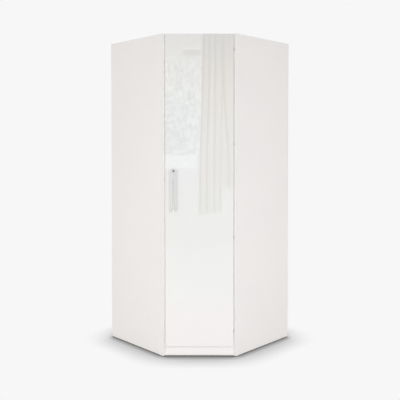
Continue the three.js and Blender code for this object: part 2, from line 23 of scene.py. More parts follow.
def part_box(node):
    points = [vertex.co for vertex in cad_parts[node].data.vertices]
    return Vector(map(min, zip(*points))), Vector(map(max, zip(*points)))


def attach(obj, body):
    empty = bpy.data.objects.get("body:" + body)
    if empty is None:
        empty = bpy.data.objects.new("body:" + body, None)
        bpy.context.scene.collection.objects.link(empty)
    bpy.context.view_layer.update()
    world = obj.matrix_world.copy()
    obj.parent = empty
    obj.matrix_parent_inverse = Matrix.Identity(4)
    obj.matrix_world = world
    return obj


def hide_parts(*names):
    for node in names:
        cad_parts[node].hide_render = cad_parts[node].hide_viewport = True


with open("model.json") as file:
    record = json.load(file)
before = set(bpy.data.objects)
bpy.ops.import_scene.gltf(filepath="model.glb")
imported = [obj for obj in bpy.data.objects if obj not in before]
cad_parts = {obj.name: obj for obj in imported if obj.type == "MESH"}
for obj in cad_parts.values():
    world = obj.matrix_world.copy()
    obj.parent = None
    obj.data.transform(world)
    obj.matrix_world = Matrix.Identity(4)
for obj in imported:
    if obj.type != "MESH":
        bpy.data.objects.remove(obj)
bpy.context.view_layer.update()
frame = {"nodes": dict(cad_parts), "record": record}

LOG = logging.getLogger("wardrobe")
MM = 0.001
SLANT = math.sqrt(0.5)
LEVELS = ("lower", "upper")
HINGE_NUMBERS = range(1, 5)
NUMBER = "NodeSocketFloat"
COLOR = "NodeSocketColor"

Color = tuple[float, float, float]
Point = tuple[float, float, float]
Shape = bmesh.types.BMesh
Ring = list[bmesh.types.BMVert]
Outline = tuple[tuple[float, float], ...]
Mesh = bpy.types.Mesh
Piece = bpy.types.Object
Material = bpy.types.Material
Tree = bpy.types.NodeTree
Node = bpy.types.Node
Socket = bpy.types.NodeSocket
Value = float | Socket
Tone = Color | Socket


class Body(Enum):
    """The bodies that carry the pieces."""

    CARCASS = "carcass"
    DOOR = "door"


class Slot(Enum):
    """The record's material slots."""

    BOARD = "board"
    GLOSS = "gloss"
    CHROME = "chrome"
    NICKEL = "nickel"
    STEEL = "steel"
    HARDBOARD = "hardboard"
    PLASTIC = "plastic"
    FELT = "felt"


# Node trees

# A Mix node's sockets for colours have the same names as those for numbers, so they go by number.
MIX_FACTOR, MIX_FIRST, MIX_SECOND, MIX_RESULT = 0, 6, 7, 2


class Canvas:
    """A node tree with short ways to add nodes and to join them."""

    def __init__(self, tree: Tree) -> None:
        """Takes a tree and clears it."""
        self.tree = tree
        tree.nodes.clear()

    def join(self, value: object, socket: Socket) -> None:
        """Links an output to an input, or sets the input to a plain value.

        Args:
            value: An output socket, a number, a colour, or what else the input takes.
            socket: The input.
        """
        if isinstance(value, Socket):
            self.tree.links.new(value, socket)
        elif socket.type == "RGBA":
            socket.default_value = (*value, 1.0)
        else:
            socket.default_value = value

    def add(self, kind: str, inputs: dict | None = None, **properties: object) -> Node:
        """Adds one node.

        Args:
            kind: The node's type name.
            inputs: Values or output sockets for the node's inputs, by name or number.
            **properties: The node's own properties.

        Returns:
            The node.
        """
        node = self.tree.nodes.new(kind)
        for name, value in properties.items():
            setattr(node, name, value)
        for key, value in (inputs or {}).items():
            self.join(value, node.inputs[key])
        return node

    def place(self) -> Socket:
        """Adds the place of a point in its object's coordinates."""
        return self.add("ShaderNodeTexCoord").outputs["Object"]

    def split(self, place: Socket) -> tuple[Socket, ...]:
        """Splits a place into its X, Y and Z."""
        return tuple(self.add("ShaderNodeSeparateXYZ", {"Vector": place}).outputs)

    def math(self, operation: str, *values: Value) -> Socket:
        """Adds a Math node on numbers or sockets, and returns its result."""
        return self.add("ShaderNodeMath", dict(enumerate(values)), operation=operation).outputs[0]

    def product(self, *values: Value) -> Socket:
        """Multiplies numbers or sockets, from the first to the last."""
        return reduce(partial(self.math, "MULTIPLY"), values)

    def noise(self, place: Socket, scale: Value, detail: float, **more: float) -> Socket:
        """Adds a noise, with further inputs by name, and returns its value between zero and one."""
        inputs = {"Vector": place, "Scale": scale, "Detail": detail, **more}
        return self.add("ShaderNodeTexNoise", inputs).outputs["Fac"]

    def ramp(self, value: Value, low: float, high: float, start: float = 0.0, end: float = 1.0) -> Socket:
        """Adds a smooth step from a start to an end while a value goes from low to high."""
        inputs = {"Value": value, "From Min": low, "From Max": high, "To Min": start, "To Max": end}
        return self.add("ShaderNodeMapRange", inputs, interpolation_type="SMOOTHSTEP").outputs["Result"]

    def above(self, value: Value, limit: float, softness: float) -> Socket:
        """Adds a mask that is one where a value is above a limit, and changes over twice the softness."""
        return self.ramp(value, limit - softness, limit + softness)

    def below(self, value: Value, limit: float, softness: float) -> Socket:
        """Adds a mask that is one where a value is below a limit, and changes over twice the softness."""
        return self.ramp(value, limit - softness, limit + softness, 1.0, 0.0)

    def near(self, value: Value, middle: float, inner: float, outer: float, height: float) -> Socket:
        """Adds a bump round the middle: at its height as far off as inner, and down to zero at outer."""
        off = self.math("ABSOLUTE", self.math("SUBTRACT", value, middle))
        return self.ramp(off, inner, outer, height, 0.0)

    def color_run(self, share: Value, stops: Sequence[tuple[float, Color]]) -> Socket:
        """Adds a run of colours.

        Args:
            share: The place in the run, from zero to one.
            stops: Places and their colours.

        Returns:
            The colour.
        """
        node = self.add("ShaderNodeValToRGB", {"Fac": share})
        elements = node.color_ramp.elements
        while len(elements) < len(stops):
            elements.new(0.5)
        for element, (place, color) in zip(elements, stops):
            element.position = place
            element.color = (*color, 1.0)
        return node.outputs["Color"]

    def mix(self, factor: Value, first: Tone, second: Tone) -> Socket:
        """Mixes two colours, with as much of the second one as the factor says."""
        inputs = {MIX_FACTOR: factor, MIX_FIRST: first, MIX_SECOND: second}
        return self.add("ShaderNodeMix", inputs, data_type="RGBA").outputs[MIX_RESULT]


def new_material(name: str) -> tuple[Material, Canvas]:
    """Makes an empty material.

    Args:
        name: Its name.

    Returns:
        The material and its canvas.
    """
    material = bpy.data.materials.new(name)
    material.use_nodes = True
    return material, Canvas(material.node_tree)


class Effect(Enum):
    """The shared shader effects, each one a node group."""

    GRAIN = "fine_grain"
    DRIFT = "colour_drift"
    CHIPS = "pressed_chips"
    STREAKS = "drawn_streaks"


@dataclass
class EffectLibrary:
    """Builds each shared effect once and places it in materials.

    Attributes:
        groups: The groups that are built.
        drift_detail: How fine the drift between two colours goes.
        drift_band: The noise values between which the colour changes.
        grain_detail: How fine the grain goes.
        chip_detail: How fine the fibres on the chips go.
        chip_share: How much of the chips' tone comes from the chip; the rest comes from its fibres.
        streak_detail: How fine the streaks go.
        streak_squeeze: How slowly the streaks change along Z.
    """

    groups: dict[Effect, Tree] = field(default_factory=dict)
    drift_detail: float = 2.0
    drift_band: tuple[float, float] = (0.35, 0.65)
    grain_detail: float = 3.0
    chip_detail: float = 5.0
    chip_share: float = 0.6
    streak_detail: float = 4.0
    streak_squeeze: float = 0.04

    def place(self, effect: Effect, canvas: Canvas, **values: object) -> Node:
        """Places an effect in a material.

        Args:
            effect: Which effect.
            canvas: The material's canvas.
            **values: The group's inputs, by name.

        Returns:
            The group node.
        """
        if effect not in self.groups:
            builders = {
                Effect.GRAIN: self._grain,
                Effect.DRIFT: self._drift,
                Effect.CHIPS: self._chips,
                Effect.STREAKS: self._streaks,
            }
            self.groups[effect] = builders[effect]()
        inputs = {"Vector": canvas.place(), **values}
        return canvas.add("ShaderNodeGroup", inputs, node_tree=self.groups[effect])

    @staticmethod
    def _start(effect: Effect, inputs: dict[str, str], outputs: dict[str, str]) -> tuple[Canvas, Node]:
        """Makes an empty group with its named sockets.

        Args:
            effect: Which effect the group is for.
            inputs: Socket types by name, next to the place.
            outputs: Socket types by name.

        Returns:
            The group's canvas and its input node.
        """
        tree = bpy.data.node_groups.new(effect.value, "ShaderNodeTree")
        for name, kind in {"Vector": "NodeSocketVector", **inputs}.items():
            tree.interface.new_socket(name, in_out="INPUT", socket_type=kind)
        for name, kind in outputs.items():
            tree.interface.new_socket(name, in_out="OUTPUT", socket_type=kind)
        canvas = Canvas(tree)
        return canvas, canvas.add("NodeGroupInput")

    def _uneven(self, effect: Effect, detail: float, squeeze: float = 1.0) -> Tree:
        """Builds a group that puts out a noise as a height, and as a value that swings round a level.

        Args:
            effect: Which effect the group is for.
            detail: How fine the noise goes.
            squeeze: How slowly it changes along Z.

        Returns:
            The group.
        """
        numbers = dict.fromkeys(("Scale", "Amount", "Level"), NUMBER)
        canvas, given = self._start(effect, numbers, dict.fromkeys(("Height", "Value"), NUMBER))
        place = given.outputs["Vector"]
        if squeeze < 1.0:
            inputs = {"Vector": place, "Scale": (1.0, 1.0, squeeze)}
            place = canvas.add("ShaderNodeMapping", inputs).outputs["Vector"]
        noise = canvas.noise(place, given.outputs["Scale"], detail)
        swing = canvas.product(canvas.math("SUBTRACT", noise, 0.5), given.outputs["Amount"])
        value = canvas.math("ADD", swing, given.outputs["Level"])
        canvas.add("NodeGroupOutput", {"Height": noise, "Value": value})
        return canvas.tree

    def _grain(self) -> Tree:
        """Builds the fine pearl of a pressed or moulded face."""
        return self._uneven(Effect.GRAIN, self.grain_detail)

    def _streaks(self) -> Tree:
        """Builds the fine lines that drawing or polishing leaves, long in Z."""
        return self._uneven(Effect.STREAKS, self.streak_detail, self.streak_squeeze)

    def _drift(self) -> Tree:
        """Builds a slow drift between two close colours over a large face.

        Returns:
            The group.
        """
        kinds = {"Scale": NUMBER, "First": COLOR, "Second": COLOR}
        canvas, given = self._start(Effect.DRIFT, kinds, {"Color": COLOR})
        noise = canvas.noise(given.outputs["Vector"], given.outputs["Scale"], self.drift_detail)
        blend = canvas.ramp(noise, *self.drift_band)
        color = canvas.mix(blend, given.outputs["First"], given.outputs["Second"])
        canvas.add("NodeGroupOutput", {"Color": color})
        return canvas.tree

    def _chips(self) -> Tree:
        """Builds pressed wood chips or fibres: cells of changing colour, and their height.

        Returns:
            The group.
        """
        kinds = {"Scale": NUMBER, "First": COLOR, "Second": COLOR}
        canvas, given = self._start(Effect.CHIPS, kinds, {"Color": COLOR, "Height": NUMBER})
        place, scale = given.outputs["Vector"], given.outputs["Scale"]
        cells = canvas.add("ShaderNodeTexVoronoi", {"Vector": place, "Scale": scale})
        tone = canvas.add("ShaderNodeSeparateColor", {"Color": cells.outputs["Color"]}).outputs["Red"]
        fibres = canvas.product(canvas.noise(place, scale, self.chip_detail), 1.0 - self.chip_share)
        blend = canvas.math("ADD", canvas.product(tone, self.chip_share), fibres)
        color = canvas.mix(blend, given.outputs["First"], given.outputs["Second"])
        canvas.add("NodeGroupOutput", {"Color": color, "Height": blend})
        return canvas.tree


EFFECTS = EffectLibrary()


# Finishes


@dataclass(frozen=True)
class Finish:
    """A surface finish. Each one makes its material once, on first use.

    Attributes:
        name: The material's name.
        color: The colour of most of the surface.
        shade: The colour that it drifts to.
        roughness: How dull the surface is.
        grain: How many grains of texture lie in a metre.
        relief: How strongly the texture's bumps show, from zero to one.
        drift: How many drifts of colour lie in a metre.
        unevenness: How much the dullness swings.
        depth: The height of the bumps.
        texture: The effect that makes them.
    """

    name: str
    color: Color
    shade: Color
    roughness: float
    grain: float = 900.0
    relief: float = 0.3
    drift: float = 40.0
    unevenness: float = 0.1
    depth: float = 0.1 * MM
    texture: Effect = Effect.GRAIN

    def material(self) -> Material:
        """Returns the material, which is built if it isn't there yet."""
        return bpy.data.materials.get(self.name) or self._build()

    def _build(self) -> Material:
        """Builds the material.

        Returns:
            The material.
        """
        material, canvas = new_material(self.name)
        shader = canvas.add("ShaderNodeBsdfPrincipled", self.constants())
        self.dress(canvas, shader)
        canvas.add("ShaderNodeOutputMaterial", {"Surface": shader.outputs["BSDF"]})
        return material

    def constants(self) -> dict[str, float]:
        """Returns what is the same all over the surface, by the shader's own sockets."""
        return {"Roughness": self.roughness}

    def dress(self, canvas: Canvas, shader: Node) -> None:
        """Gives the shader its drifting colour, its uneven sheen and its bumps.

        Args:
            canvas: The material's canvas.
            shader: The shader.
        """
        tone = EFFECTS.place(Effect.DRIFT, canvas, Scale=self.drift, First=self.color, Second=self.shade)
        canvas.join(tone.outputs["Color"], shader.inputs["Base Color"])
        swing = {"Amount": self.unevenness, "Level": self.roughness}
        skin = EFFECTS.place(self.texture, canvas, Scale=self.grain, **swing)
        canvas.join(skin.outputs["Value"], shader.inputs["Roughness"])
        self.bump(canvas, shader, skin.outputs["Height"])

    def bump(self, canvas: Canvas, shader: Node, height: Socket) -> None:
        """Gives the shader bumps of a height."""
        inputs = {"Height": height, "Strength": self.relief, "Distance": self.depth}
        canvas.join(canvas.add("ShaderNodeBump", inputs).outputs["Normal"], shader.inputs["Normal"])


@dataclass(frozen=True)
class Melamine(Finish):
    """White paper face pressed under a pearl plate: satin, with a fine even texture."""

    drift: float = 2.5
    unevenness: float = 0.18
    depth: float = 0.06 * MM


@dataclass(frozen=True)
class GlossFilm(Finish):
    """High gloss face: a white film under a clear skin, with the faint orange peel of the board below it.

    Attributes:
        index: The film's refractive index.
        skin_index: The skin's refractive index.
        skin_roughness: How dull the skin is.
    """

    drift: float = 1.2
    unevenness: float = 0.02
    depth: float = 0.02 * MM
    index: float = 1.5
    skin_index: float = 2.09
    skin_roughness: float = 0.02

    def constants(self) -> dict[str, float]:
        """Returns the shader's own numbers, those of the clear skin among them."""
        skin = {"Coat Weight": 1.0, "Coat IOR": self.skin_index, "Coat Roughness": self.skin_roughness}
        return {**super().constants(), "IOR": self.index, **skin}


@dataclass(frozen=True)
class Metal(Finish):
    """Plated or bare metal, with fine lines from drawing and polishing."""

    drift: float = 60.0
    unevenness: float = 0.08
    depth: float = 0.01 * MM
    texture: Effect = Effect.STREAKS

    def constants(self) -> dict[str, float]:
        """Returns the shader's own numbers, for bare metal."""
        return {**super().constants(), "Metallic": 1.0}


@dataclass(frozen=True)
class PressedWood(Finish):
    """Raw chipboard edges and bare hardboard: chips or fibres of changing colour."""

    depth: float = 0.3 * MM
    texture: Effect = Effect.CHIPS

    def dress(self, canvas: Canvas, shader: Node) -> None:
        """Gives the shader its chips and their relief.

        Args:
            canvas: The material's canvas.
            shader: The shader.
        """
        chips = EFFECTS.place(self.texture, canvas, Scale=self.grain, First=self.color, Second=self.shade)
        canvas.join(chips.outputs["Color"], shader.inputs["Base Color"])
        self.bump(canvas, shader, chips.outputs["Height"])


@dataclass(frozen=True)
class Moulded(Finish):
    """Moulded plastic or felt: an even colour with a fine texture."""


FACE = Melamine("white_melamine", (0.849, 0.823, 0.808), (0.84, 0.816, 0.803), 0.46)
BAND = Melamine(
    "edge_band", (0.885, 0.862, 0.848), (0.875, 0.853, 0.84), 0.36, grain=1500.0, relief=0.1
)
GLOSS = GlossFilm(
    "gloss_white", (0.775, 0.763, 0.748), (0.768, 0.757, 0.743), 0.02, grain=260.0, relief=0.03
)
LACQUER = Melamine(
    "lacquered_hardboard", (0.80, 0.79, 0.77), (0.78, 0.77, 0.75), 0.5, grain=500.0, relief=0.5
)
CHIPBOARD = PressedWood(
    "raw_chipboard", (0.42, 0.28, 0.15), (0.66, 0.50, 0.32), 0.85, grain=420.0, relief=0.8
)
HARDBOARD = PressedWood(
    "bare_hardboard", (0.19, 0.105, 0.05), (0.30, 0.175, 0.09), 0.7, grain=700.0, relief=0.5
)
CHROME = Metal(
    "polished_chrome", (0.87, 0.86, 0.85), (0.85, 0.84, 0.83), 0.07, grain=400.0, relief=0.1, unevenness=0.03
)
NICKEL = Metal("satin_nickel", (0.62, 0.60, 0.57), (0.56, 0.545, 0.52), 0.28, grain=700.0)
ZINC = Metal(
    "zinc_plate", (0.58, 0.59, 0.60), (0.50, 0.51, 0.53), 0.36, grain=500.0, relief=0.4, unevenness=0.14
)
PLASTIC = Moulded("pale_plastic", (0.66, 0.65, 0.62), (0.63, 0.62, 0.60), 0.42, grain=1200.0, relief=0.2)
SEAL = Moulded("soft_seal", (0.90, 0.885, 0.87), (0.87, 0.86, 0.845), 0.5, relief=0.2)
FELT = Moulded("felt", (0.55, 0.53, 0.50), (0.47, 0.455, 0.43), 0.95, grain=2500.0, relief=1.0)
GLUE = Moulded("glue_line", (0.60, 0.57, 0.52), (0.52, 0.49, 0.44), 0.6, grain=1500.0, relief=0.2)
# The near-black of the pin holes is painted shade, laid on thin discs at their mouths.
HOLE_SHADE = Moulded("drilled_hole", (0.05, 0.045, 0.04), (0.07, 0.06, 0.05), 0.9, grain=2500.0, relief=0.2)

SLOT_FINISHES: dict[Slot, Finish] = {
    Slot.BOARD: FACE,
    Slot.GLOSS: GLOSS,
    Slot.CHROME: CHROME,
    Slot.NICKEL: NICKEL,
    Slot.STEEL: ZINC,
    Slot.HARDBOARD: HARDBOARD,
    Slot.PLASTIC: PLASTIC,
    Slot.FELT: FELT,
}
FaceRule = Callable[[Vector, Vector], Finish]


# Meshes

MERGE_DISTANCE = 0.01 * MM
TURNED_MERGE_DISTANCE = 0.005 * MM
FLAT_ANGLE = math.radians(0.5)
UPRIGHT = (Vector((0.0, 1.0, 0.0)), Vector((0.0, 0.0, 1.0)))
LEVEL = (Vector((1.0, 0.0, 0.0)), Vector((0.0, 1.0, 0.0)))


def link(name: str, data: bpy.types.ID) -> Piece:
    """Puts an object in the scene.

    Args:
        name: The object's name.
        data: Its mesh, lamp or camera. A mesh has its place in its corners.

    Returns:
        The object, which sits at the origin.
    """
    thing = bpy.data.objects.new(name, data)
    bpy.context.scene.collection.objects.link(thing)
    return thing


def mesh_from(bm: Shape, name: str, finishes: Sequence[Finish] = ()) -> Mesh:
    """Turns a shape into a mesh with its materials, and frees the shape.

    Args:
        bm: The shape.
        name: The mesh's name.
        finishes: The finishes, by the number on each face.

    Returns:
        The mesh.
    """
    mesh = bpy.data.meshes.new(name)
    bm.to_mesh(mesh)
    bm.free()
    for finish in finishes:
        mesh.materials.append(finish.material())
    return mesh


def piece_of(bm: Shape, name: str, *finishes: Finish) -> Piece:
    """Turns a shape into an object in the scene with its finishes, and frees the shape."""
    return link(name, mesh_from(bm, name, finishes))


def deliver(piece: Piece, body: Body, node: str = "") -> Piece:
    """Hands a finished piece over to the body that carries it.

    Args:
        piece: The object.
        body: The body that it rides on.
        node: The solid that it replaces, where there is one.

    Returns:
        The piece.
    """
    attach(piece, body.value)
    if node:
        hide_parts(node)
    LOG.info("%s rides on %s with %d faces", piece.name, body.value, len(piece.data.polygons))
    return piece


def box(node: str) -> tuple[Vector, Vector]:
    """Returns the lowest and highest corner of a solid as vectors."""
    low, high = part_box(node)
    return Vector(low), Vector(high)


def copy_of(node: str) -> Shape:
    """Copies a solid of the frame, with its corners merged and its flat faces whole.

    Args:
        node: The solid's name.

    Returns:
        The copy.
    """
    bm = bmesh.new()
    bm.from_mesh(bpy.data.objects[node].data)
    bmesh.ops.remove_doubles(bm, verts=bm.verts, dist=MERGE_DISTANCE)
    bmesh.ops.dissolve_limit(bm, angle_limit=FLAT_ANGLE, verts=bm.verts, edges=bm.edges)
    return bm


def wall(bm: Shape, near: Ring, far: Ring, smooth: bool = False) -> None:
    """Joins two rings of corners with a wall of faces.

    Args:
        bm: The shape that they are in.
        near: One ring.
        far: The other one, with as many corners.
        smooth: Whether the faces look round.
    """
    for step in range(len(near)):
        after = (step + 1) % len(near)
        bm.faces.new((near[step], near[after], far[after], far[step])).smooth = smooth


def scaled(outline: Outline, radius: float, height: float) -> list[tuple[float, float]]:
    """Turns an outline in shares of a radius and a height into one at its real size."""
    return [(radius * across, height * up) for across, up in outline]


def turned(profile: Sequence[tuple[float, float]], steps: int) -> Shape:
    """Turns a profile round +Z.

    Args:
        profile: Points of radius and height; it starts and ends on the axis, outer side to the right.
        steps: The number of sides.

    Returns:
        The closed shape.
    """
    bm = bmesh.new()
    corners = [bm.verts.new((radius, 0.0, height)) for radius, height in profile]
    line = [bm.edges.new(pair) for pair in zip(corners, corners[1:])]
    turn = {"axis": (0, 0, 1), "cent": (0, 0, 0), "angle": math.tau, "steps": steps, "use_merge": True}
    bmesh.ops.spin(bm, geom=corners + line, **turn)
    bmesh.ops.remove_doubles(bm, verts=bm.verts, dist=TURNED_MERGE_DISTANCE)
    bmesh.ops.recalc_face_normals(bm, faces=bm.faces)
    for face in bm.faces:
        face.smooth = True
    return bm


def drawn_out(outline: Sequence[Vector], along: Vector, hollow: Sequence[Vector] = ()) -> Shape:
    """Draws a flat outline out into a solid, or into a tube where there is a hollow.

    Args:
        outline: The corners in order, in space.
        along: How far and which way the outline is drawn.
        hollow: The corners of the hollow, as many as the outline has.

    Returns:
        The closed shape.
    """
    bm = bmesh.new()
    ends = (Vector(), along)
    outer, far_outer = ([bm.verts.new(point + end) for point in outline] for end in ends)
    inner, far_inner = ([bm.verts.new(point + end) for point in hollow] for end in ends)
    wall(bm, outer, far_outer)
    if hollow:
        wall(bm, inner[::-1], far_inner[::-1])
        wall(bm, outer[::-1], inner[::-1])
        wall(bm, far_outer, far_inner)
    else:
        bm.faces.new(outer)
        bm.faces.new(far_outer)
    bmesh.ops.recalc_face_normals(bm, faces=bm.faces)
    return bm


def arc(
    middle: Vector,
    radius: float,
    start: float,
    finish: float,
    steps: int,
    plane: tuple[Vector, Vector] = UPRIGHT,
) -> list[Vector]:
    """Works out points on an arc.

    Args:
        middle: The arc's middle.
        radius: Its radius.
        start: The first angle from the plane's first direction, in degrees.
        finish: The last angle, in degrees.
        steps: The number of stretches.
        plane: The two directions of its plane.

    Returns:
        The points, both ends among them.
    """
    first, second = plane
    angles = [math.radians(start + (finish - start) * step / steps) for step in range(steps + 1)]
    return [middle + (first * math.cos(angle) + second * math.sin(angle)) * radius for angle in angles]


@dataclass(frozen=True)
class Softening:
    """How the edges of a copied solid are rounded.

    Attributes:
        radius: The radius of the rounding.
        segments: The number of faces across it.
        shortest: Edges shorter than this are left sharp.
        angle: Edges flatter than this are left alone, in degrees.
        largest_smooth: Faces over this area stay flat, so that broad faces have no false shading.
    """

    radius: float
    segments: int = 2
    shortest: float = 15 * MM
    angle: float = 30.0
    largest_smooth: float = 60 * MM * MM

    def apply(self, bm: Shape) -> None:
        """Rounds the edges of a shape.

        Args:
            bm: The shape, with its corners merged.
        """
        sharp = [
            edge
            for edge in bm.edges
            if len(edge.link_faces) == 2
            and edge.calc_length() > self.shortest
            and edge.calc_face_angle() > math.radians(self.angle)
        ]
        rounding = {"offset": self.radius, "offset_type": "OFFSET", "segments": self.segments}
        bmesh.ops.bevel(bm, geom=sharp, affect="EDGES", clamp_overlap=True, profile=0.5, **rounding)
        for face in bm.faces:
            face.smooth = face.calc_area() < self.largest_smooth


BOARD_EDGES = Softening(0.5 * MM)
SHEET_EDGES = Softening(0.3 * MM, 1)
METAL_EDGES = Softening(0.35 * MM, shortest=2.2 * MM, angle=35.0)


@dataclass(frozen=True)
class Dressing:
    """How the copy of a solid is dressed, and what carries it.

    Attributes:
        body: The body that carries it.
        slot: The record's material slot. It is not used.
        edges: How its edges are rounded.
        finishes: Its finishes.
        rule: Picks a finish by a face's normal and middle; the first finish where there is no rule.
    """

    body: Body
    slot: Slot
    edges: Softening
    finishes: tuple[Finish, ...]
    rule: FaceRule | None = None

    def copy(self, node: str, name: str) -> Piece:
        """Copies a solid, dresses the copy and lets it stand for the solid.

        Args:
            node: The solid's name.
            name: The new piece's name.

        Returns:
            The piece.
        """
        bm = copy_of(node)
        self.edges.apply(bm)
        if self.rule:
            for face in bm.faces:
                finish = self.rule(face.normal, face.calc_center_median())
                face.material_index = self.finishes.index(finish)
        return deliver(piece_of(bm, name, *self.finishes), self.body, node)


def metal_copy(node: str, name: str, slot: Slot, body: Body = Body.CARCASS) -> Piece:
    """Copies a metal fitting, with fine edges and its slot's finish, and lets it stand for the solid."""
    return Dressing(body, slot, METAL_EDGES, (SLOT_FINISHES[slot],)).copy(node, name)


# Repeated fastenings, made by Geometry Nodes


class Recess(Enum):
    """What is cut into the head of a fastening."""

    CROSS = "cross"
    NONE = "none"


@dataclass(frozen=True)
class Head:
    """The head of a screw or a tack, or the mouth of a hole, standing up from its seat along +Z.

    Attributes:
        name: The shape's name.
        radius: The head's radius.
        height: How far it stands up.
        recess: What is cut into it.
        dome_sides: The number of sides of a plain head.
        dome: Its outline, in shares of the head's radius and height.
        pan_sides: The number of sides of a head with a cross.
        pan: The outline of its wall, in such shares.
        cross: The reach and half width of the cross's arms, and the height of its floor, in such shares.
    """

    name: str
    radius: float
    height: float
    recess: Recess = Recess.CROSS
    dome_sides: int = 16
    dome: Outline = ((0.0, 0.0), (1.0, 0.0), (1.0, 0.4), (0.7, 0.92), (0.0, 1.0))
    pan_sides: int = 20
    pan: Outline = ((1.0, 0.0), (1.0, 0.45), (0.8, 1.0))
    cross: tuple[float, float, float] = (0.55, 0.16, 0.4)

    def shape(self) -> Piece:
        """Builds the head once, away from the scene, for the node trees to place.

        Returns:
            The head's object.
        """
        found = bpy.data.objects.get(self.name)
        if found:
            return found
        bm = self._crossed() if self.recess is Recess.CROSS else self._plain()
        return bpy.data.objects.new(self.name, mesh_from(bm, self.name))

    def _plain(self) -> Shape:
        """Builds a low dome on a short rim."""
        return turned(scaled(self.dome, self.radius, self.height), self.dome_sides)

    def _crossed(self) -> Shape:
        """Builds a pan head whose top has a cross cut into it.

        Returns:
            The closed shape.
        """
        bm = bmesh.new()
        angles = [math.tau * step / self.pan_sides for step in range(self.pan_sides)]
        rings = [
            [bm.verts.new((radius * math.cos(angle), radius * math.sin(angle), height)) for angle in angles]
            for radius, height in scaled(self.pan, self.radius, self.height)
        ]
        for low, high in zip(rings, rings[1:]):
            wall(bm, low, high, smooth=True)
        bm.faces.new(reversed(rings[0]))
        reach, half_width, floor_share = self.cross
        cross = self._cross(reach * self.radius, half_width * self.radius)
        heights = (self.height, floor_share * self.height)
        mouth, floor = ([bm.verts.new((x, y, height)) for x, y in cross] for height in heights)
        rims = []
        for ring in (rings[-1], mouth):
            for first, second in zip(ring, ring[1:] + ring[:1]):
                rims.append(bm.edges.get((first, second)) or bm.edges.new((first, second)))
        bmesh.ops.triangle_fill(bm, edges=rims, use_beauty=True, normal=(0, 0, 1))
        wall(bm, mouth, floor)
        bm.faces.new(floor)
        bmesh.ops.recalc_face_normals(bm, faces=bm.faces)
        return bm

    @staticmethod
    def _cross(arm: float, slot: float) -> list[Vector]:
        """Works out the corners of a cross.

        Args:
            arm: How far its arms reach.
            slot: Half their width.

        Returns:
            The corners in order.
        """
        quarter = ((slot, arm), (slot, slot), (arm, slot))
        turns = [Matrix.Rotation(-turn * math.pi / 2, 2) for turn in range(4)]
        return [turn @ Vector(point) for turn in turns for point in quarter]


class Layout(Enum):
    """How a fastening tree reads its places."""

    POINTS = "on_points"
    LINES = "along_lines"


@dataclass
class FasteningTree:
    """A Geometry Nodes tree that puts a head on each point, or at a pitch along each line.

    Attributes:
        layout: Whether the places are points or lines. Each has the way that its heads face.
    """

    layout: Layout

    def tree(self) -> Tree:
        """Returns the tree, which is built if it isn't there yet."""
        name = "fastenings_" + self.layout.value
        return bpy.data.node_groups.get(name) or self._build(name)

    def _build(self, name: str) -> Tree:
        """Builds the tree.

        Args:
            name: The tree's name.

        Returns:
            The tree.
        """
        tree = bpy.data.node_groups.new(name, "GeometryNodeTree")
        sockets = {
            "Geometry": "NodeSocketGeometry",
            "Head": "NodeSocketObject",
            "Size": NUMBER,
            "Pitch": NUMBER,
            "Finish": "NodeSocketMaterial",
        }
        for socket, kind in sockets.items():
            tree.interface.new_socket(socket, in_out="INPUT", socket_type=kind)
        tree.interface.new_socket("Geometry", in_out="OUTPUT", socket_type="NodeSocketGeometry")
        canvas = Canvas(tree)
        given = canvas.add("NodeGroupInput")
        places = given.outputs["Geometry"]
        if self.layout is Layout.LINES:
            places = self._spaced(canvas, places, given.outputs["Pitch"])
        facing = canvas.add("GeometryNodeInputNamedAttribute", {"Name": "facing"}, data_type="FLOAT_VECTOR")
        inputs = {"Vector": facing.outputs["Attribute"]}
        turn = canvas.add("FunctionNodeAlignRotationToVector", inputs, axis="Z")
        head = canvas.add("GeometryNodeObjectInfo", {"Object": given.outputs["Head"]})
        inputs = {
            "Points": places,
            "Instance": head.outputs["Geometry"],
            "Rotation": turn.outputs["Rotation"],
            "Scale": given.outputs["Size"],
        }
        placed = canvas.add("GeometryNodeInstanceOnPoints", inputs)
        real = canvas.add("GeometryNodeRealizeInstances", {"Geometry": placed.outputs["Instances"]})
        inputs = {"Geometry": real.outputs["Geometry"], "Material": given.outputs["Finish"]}
        dressed = canvas.add("GeometryNodeSetMaterial", inputs)
        canvas.add("NodeGroupOutput", {"Geometry": dressed.outputs["Geometry"]})
        return tree

    @staticmethod
    def _spaced(canvas: Canvas, lines: Socket, pitch: Socket) -> Socket:
        """Adds the nodes that turn lines into points at a pitch.

        Args:
            canvas: The tree's canvas.
            lines: The lines.
            pitch: The length between points.

        Returns:
            The points.
        """
        curves = canvas.add("GeometryNodeMeshToCurve", {"Mesh": lines}).outputs["Curve"]
        inputs = {"Curve": curves, "Length": pitch}
        return canvas.add("GeometryNodeResampleCurve", inputs, mode="LENGTH").outputs["Curve"]

    def bake(self, name: str, places: Mesh, head: Head, finish: Finish, pitch: float) -> Piece:
        """Runs the tree and keeps its result as a plain mesh.

        Args:
            name: The piece's name.
            places: A mesh of points or lines with a facing direction at each point.
            head: The shape that is repeated.
            finish: Its finish.
            pitch: The spacing along lines.

        Returns:
            The piece.
        """
        carrier = link(name + "_places", places)
        modifier = carrier.modifiers.new("fastenings", "NODES")
        modifier.node_group = self.tree()
        values = {"Head": head.shape(), "Size": 1.0, "Pitch": pitch, "Finish": finish.material()}
        for item in modifier.node_group.interface.items_tree:
            if item.in_out == "INPUT" and item.name in values:
                modifier[item.identifier] = values[item.name]
        bpy.context.view_layer.update()
        evaluated = carrier.evaluated_get(bpy.context.evaluated_depsgraph_get())
        mesh = bpy.data.meshes.new_from_object(evaluated)
        mesh.name = name
        carrier.modifiers.clear()
        bpy.data.objects.remove(carrier)
        return link(name, mesh)


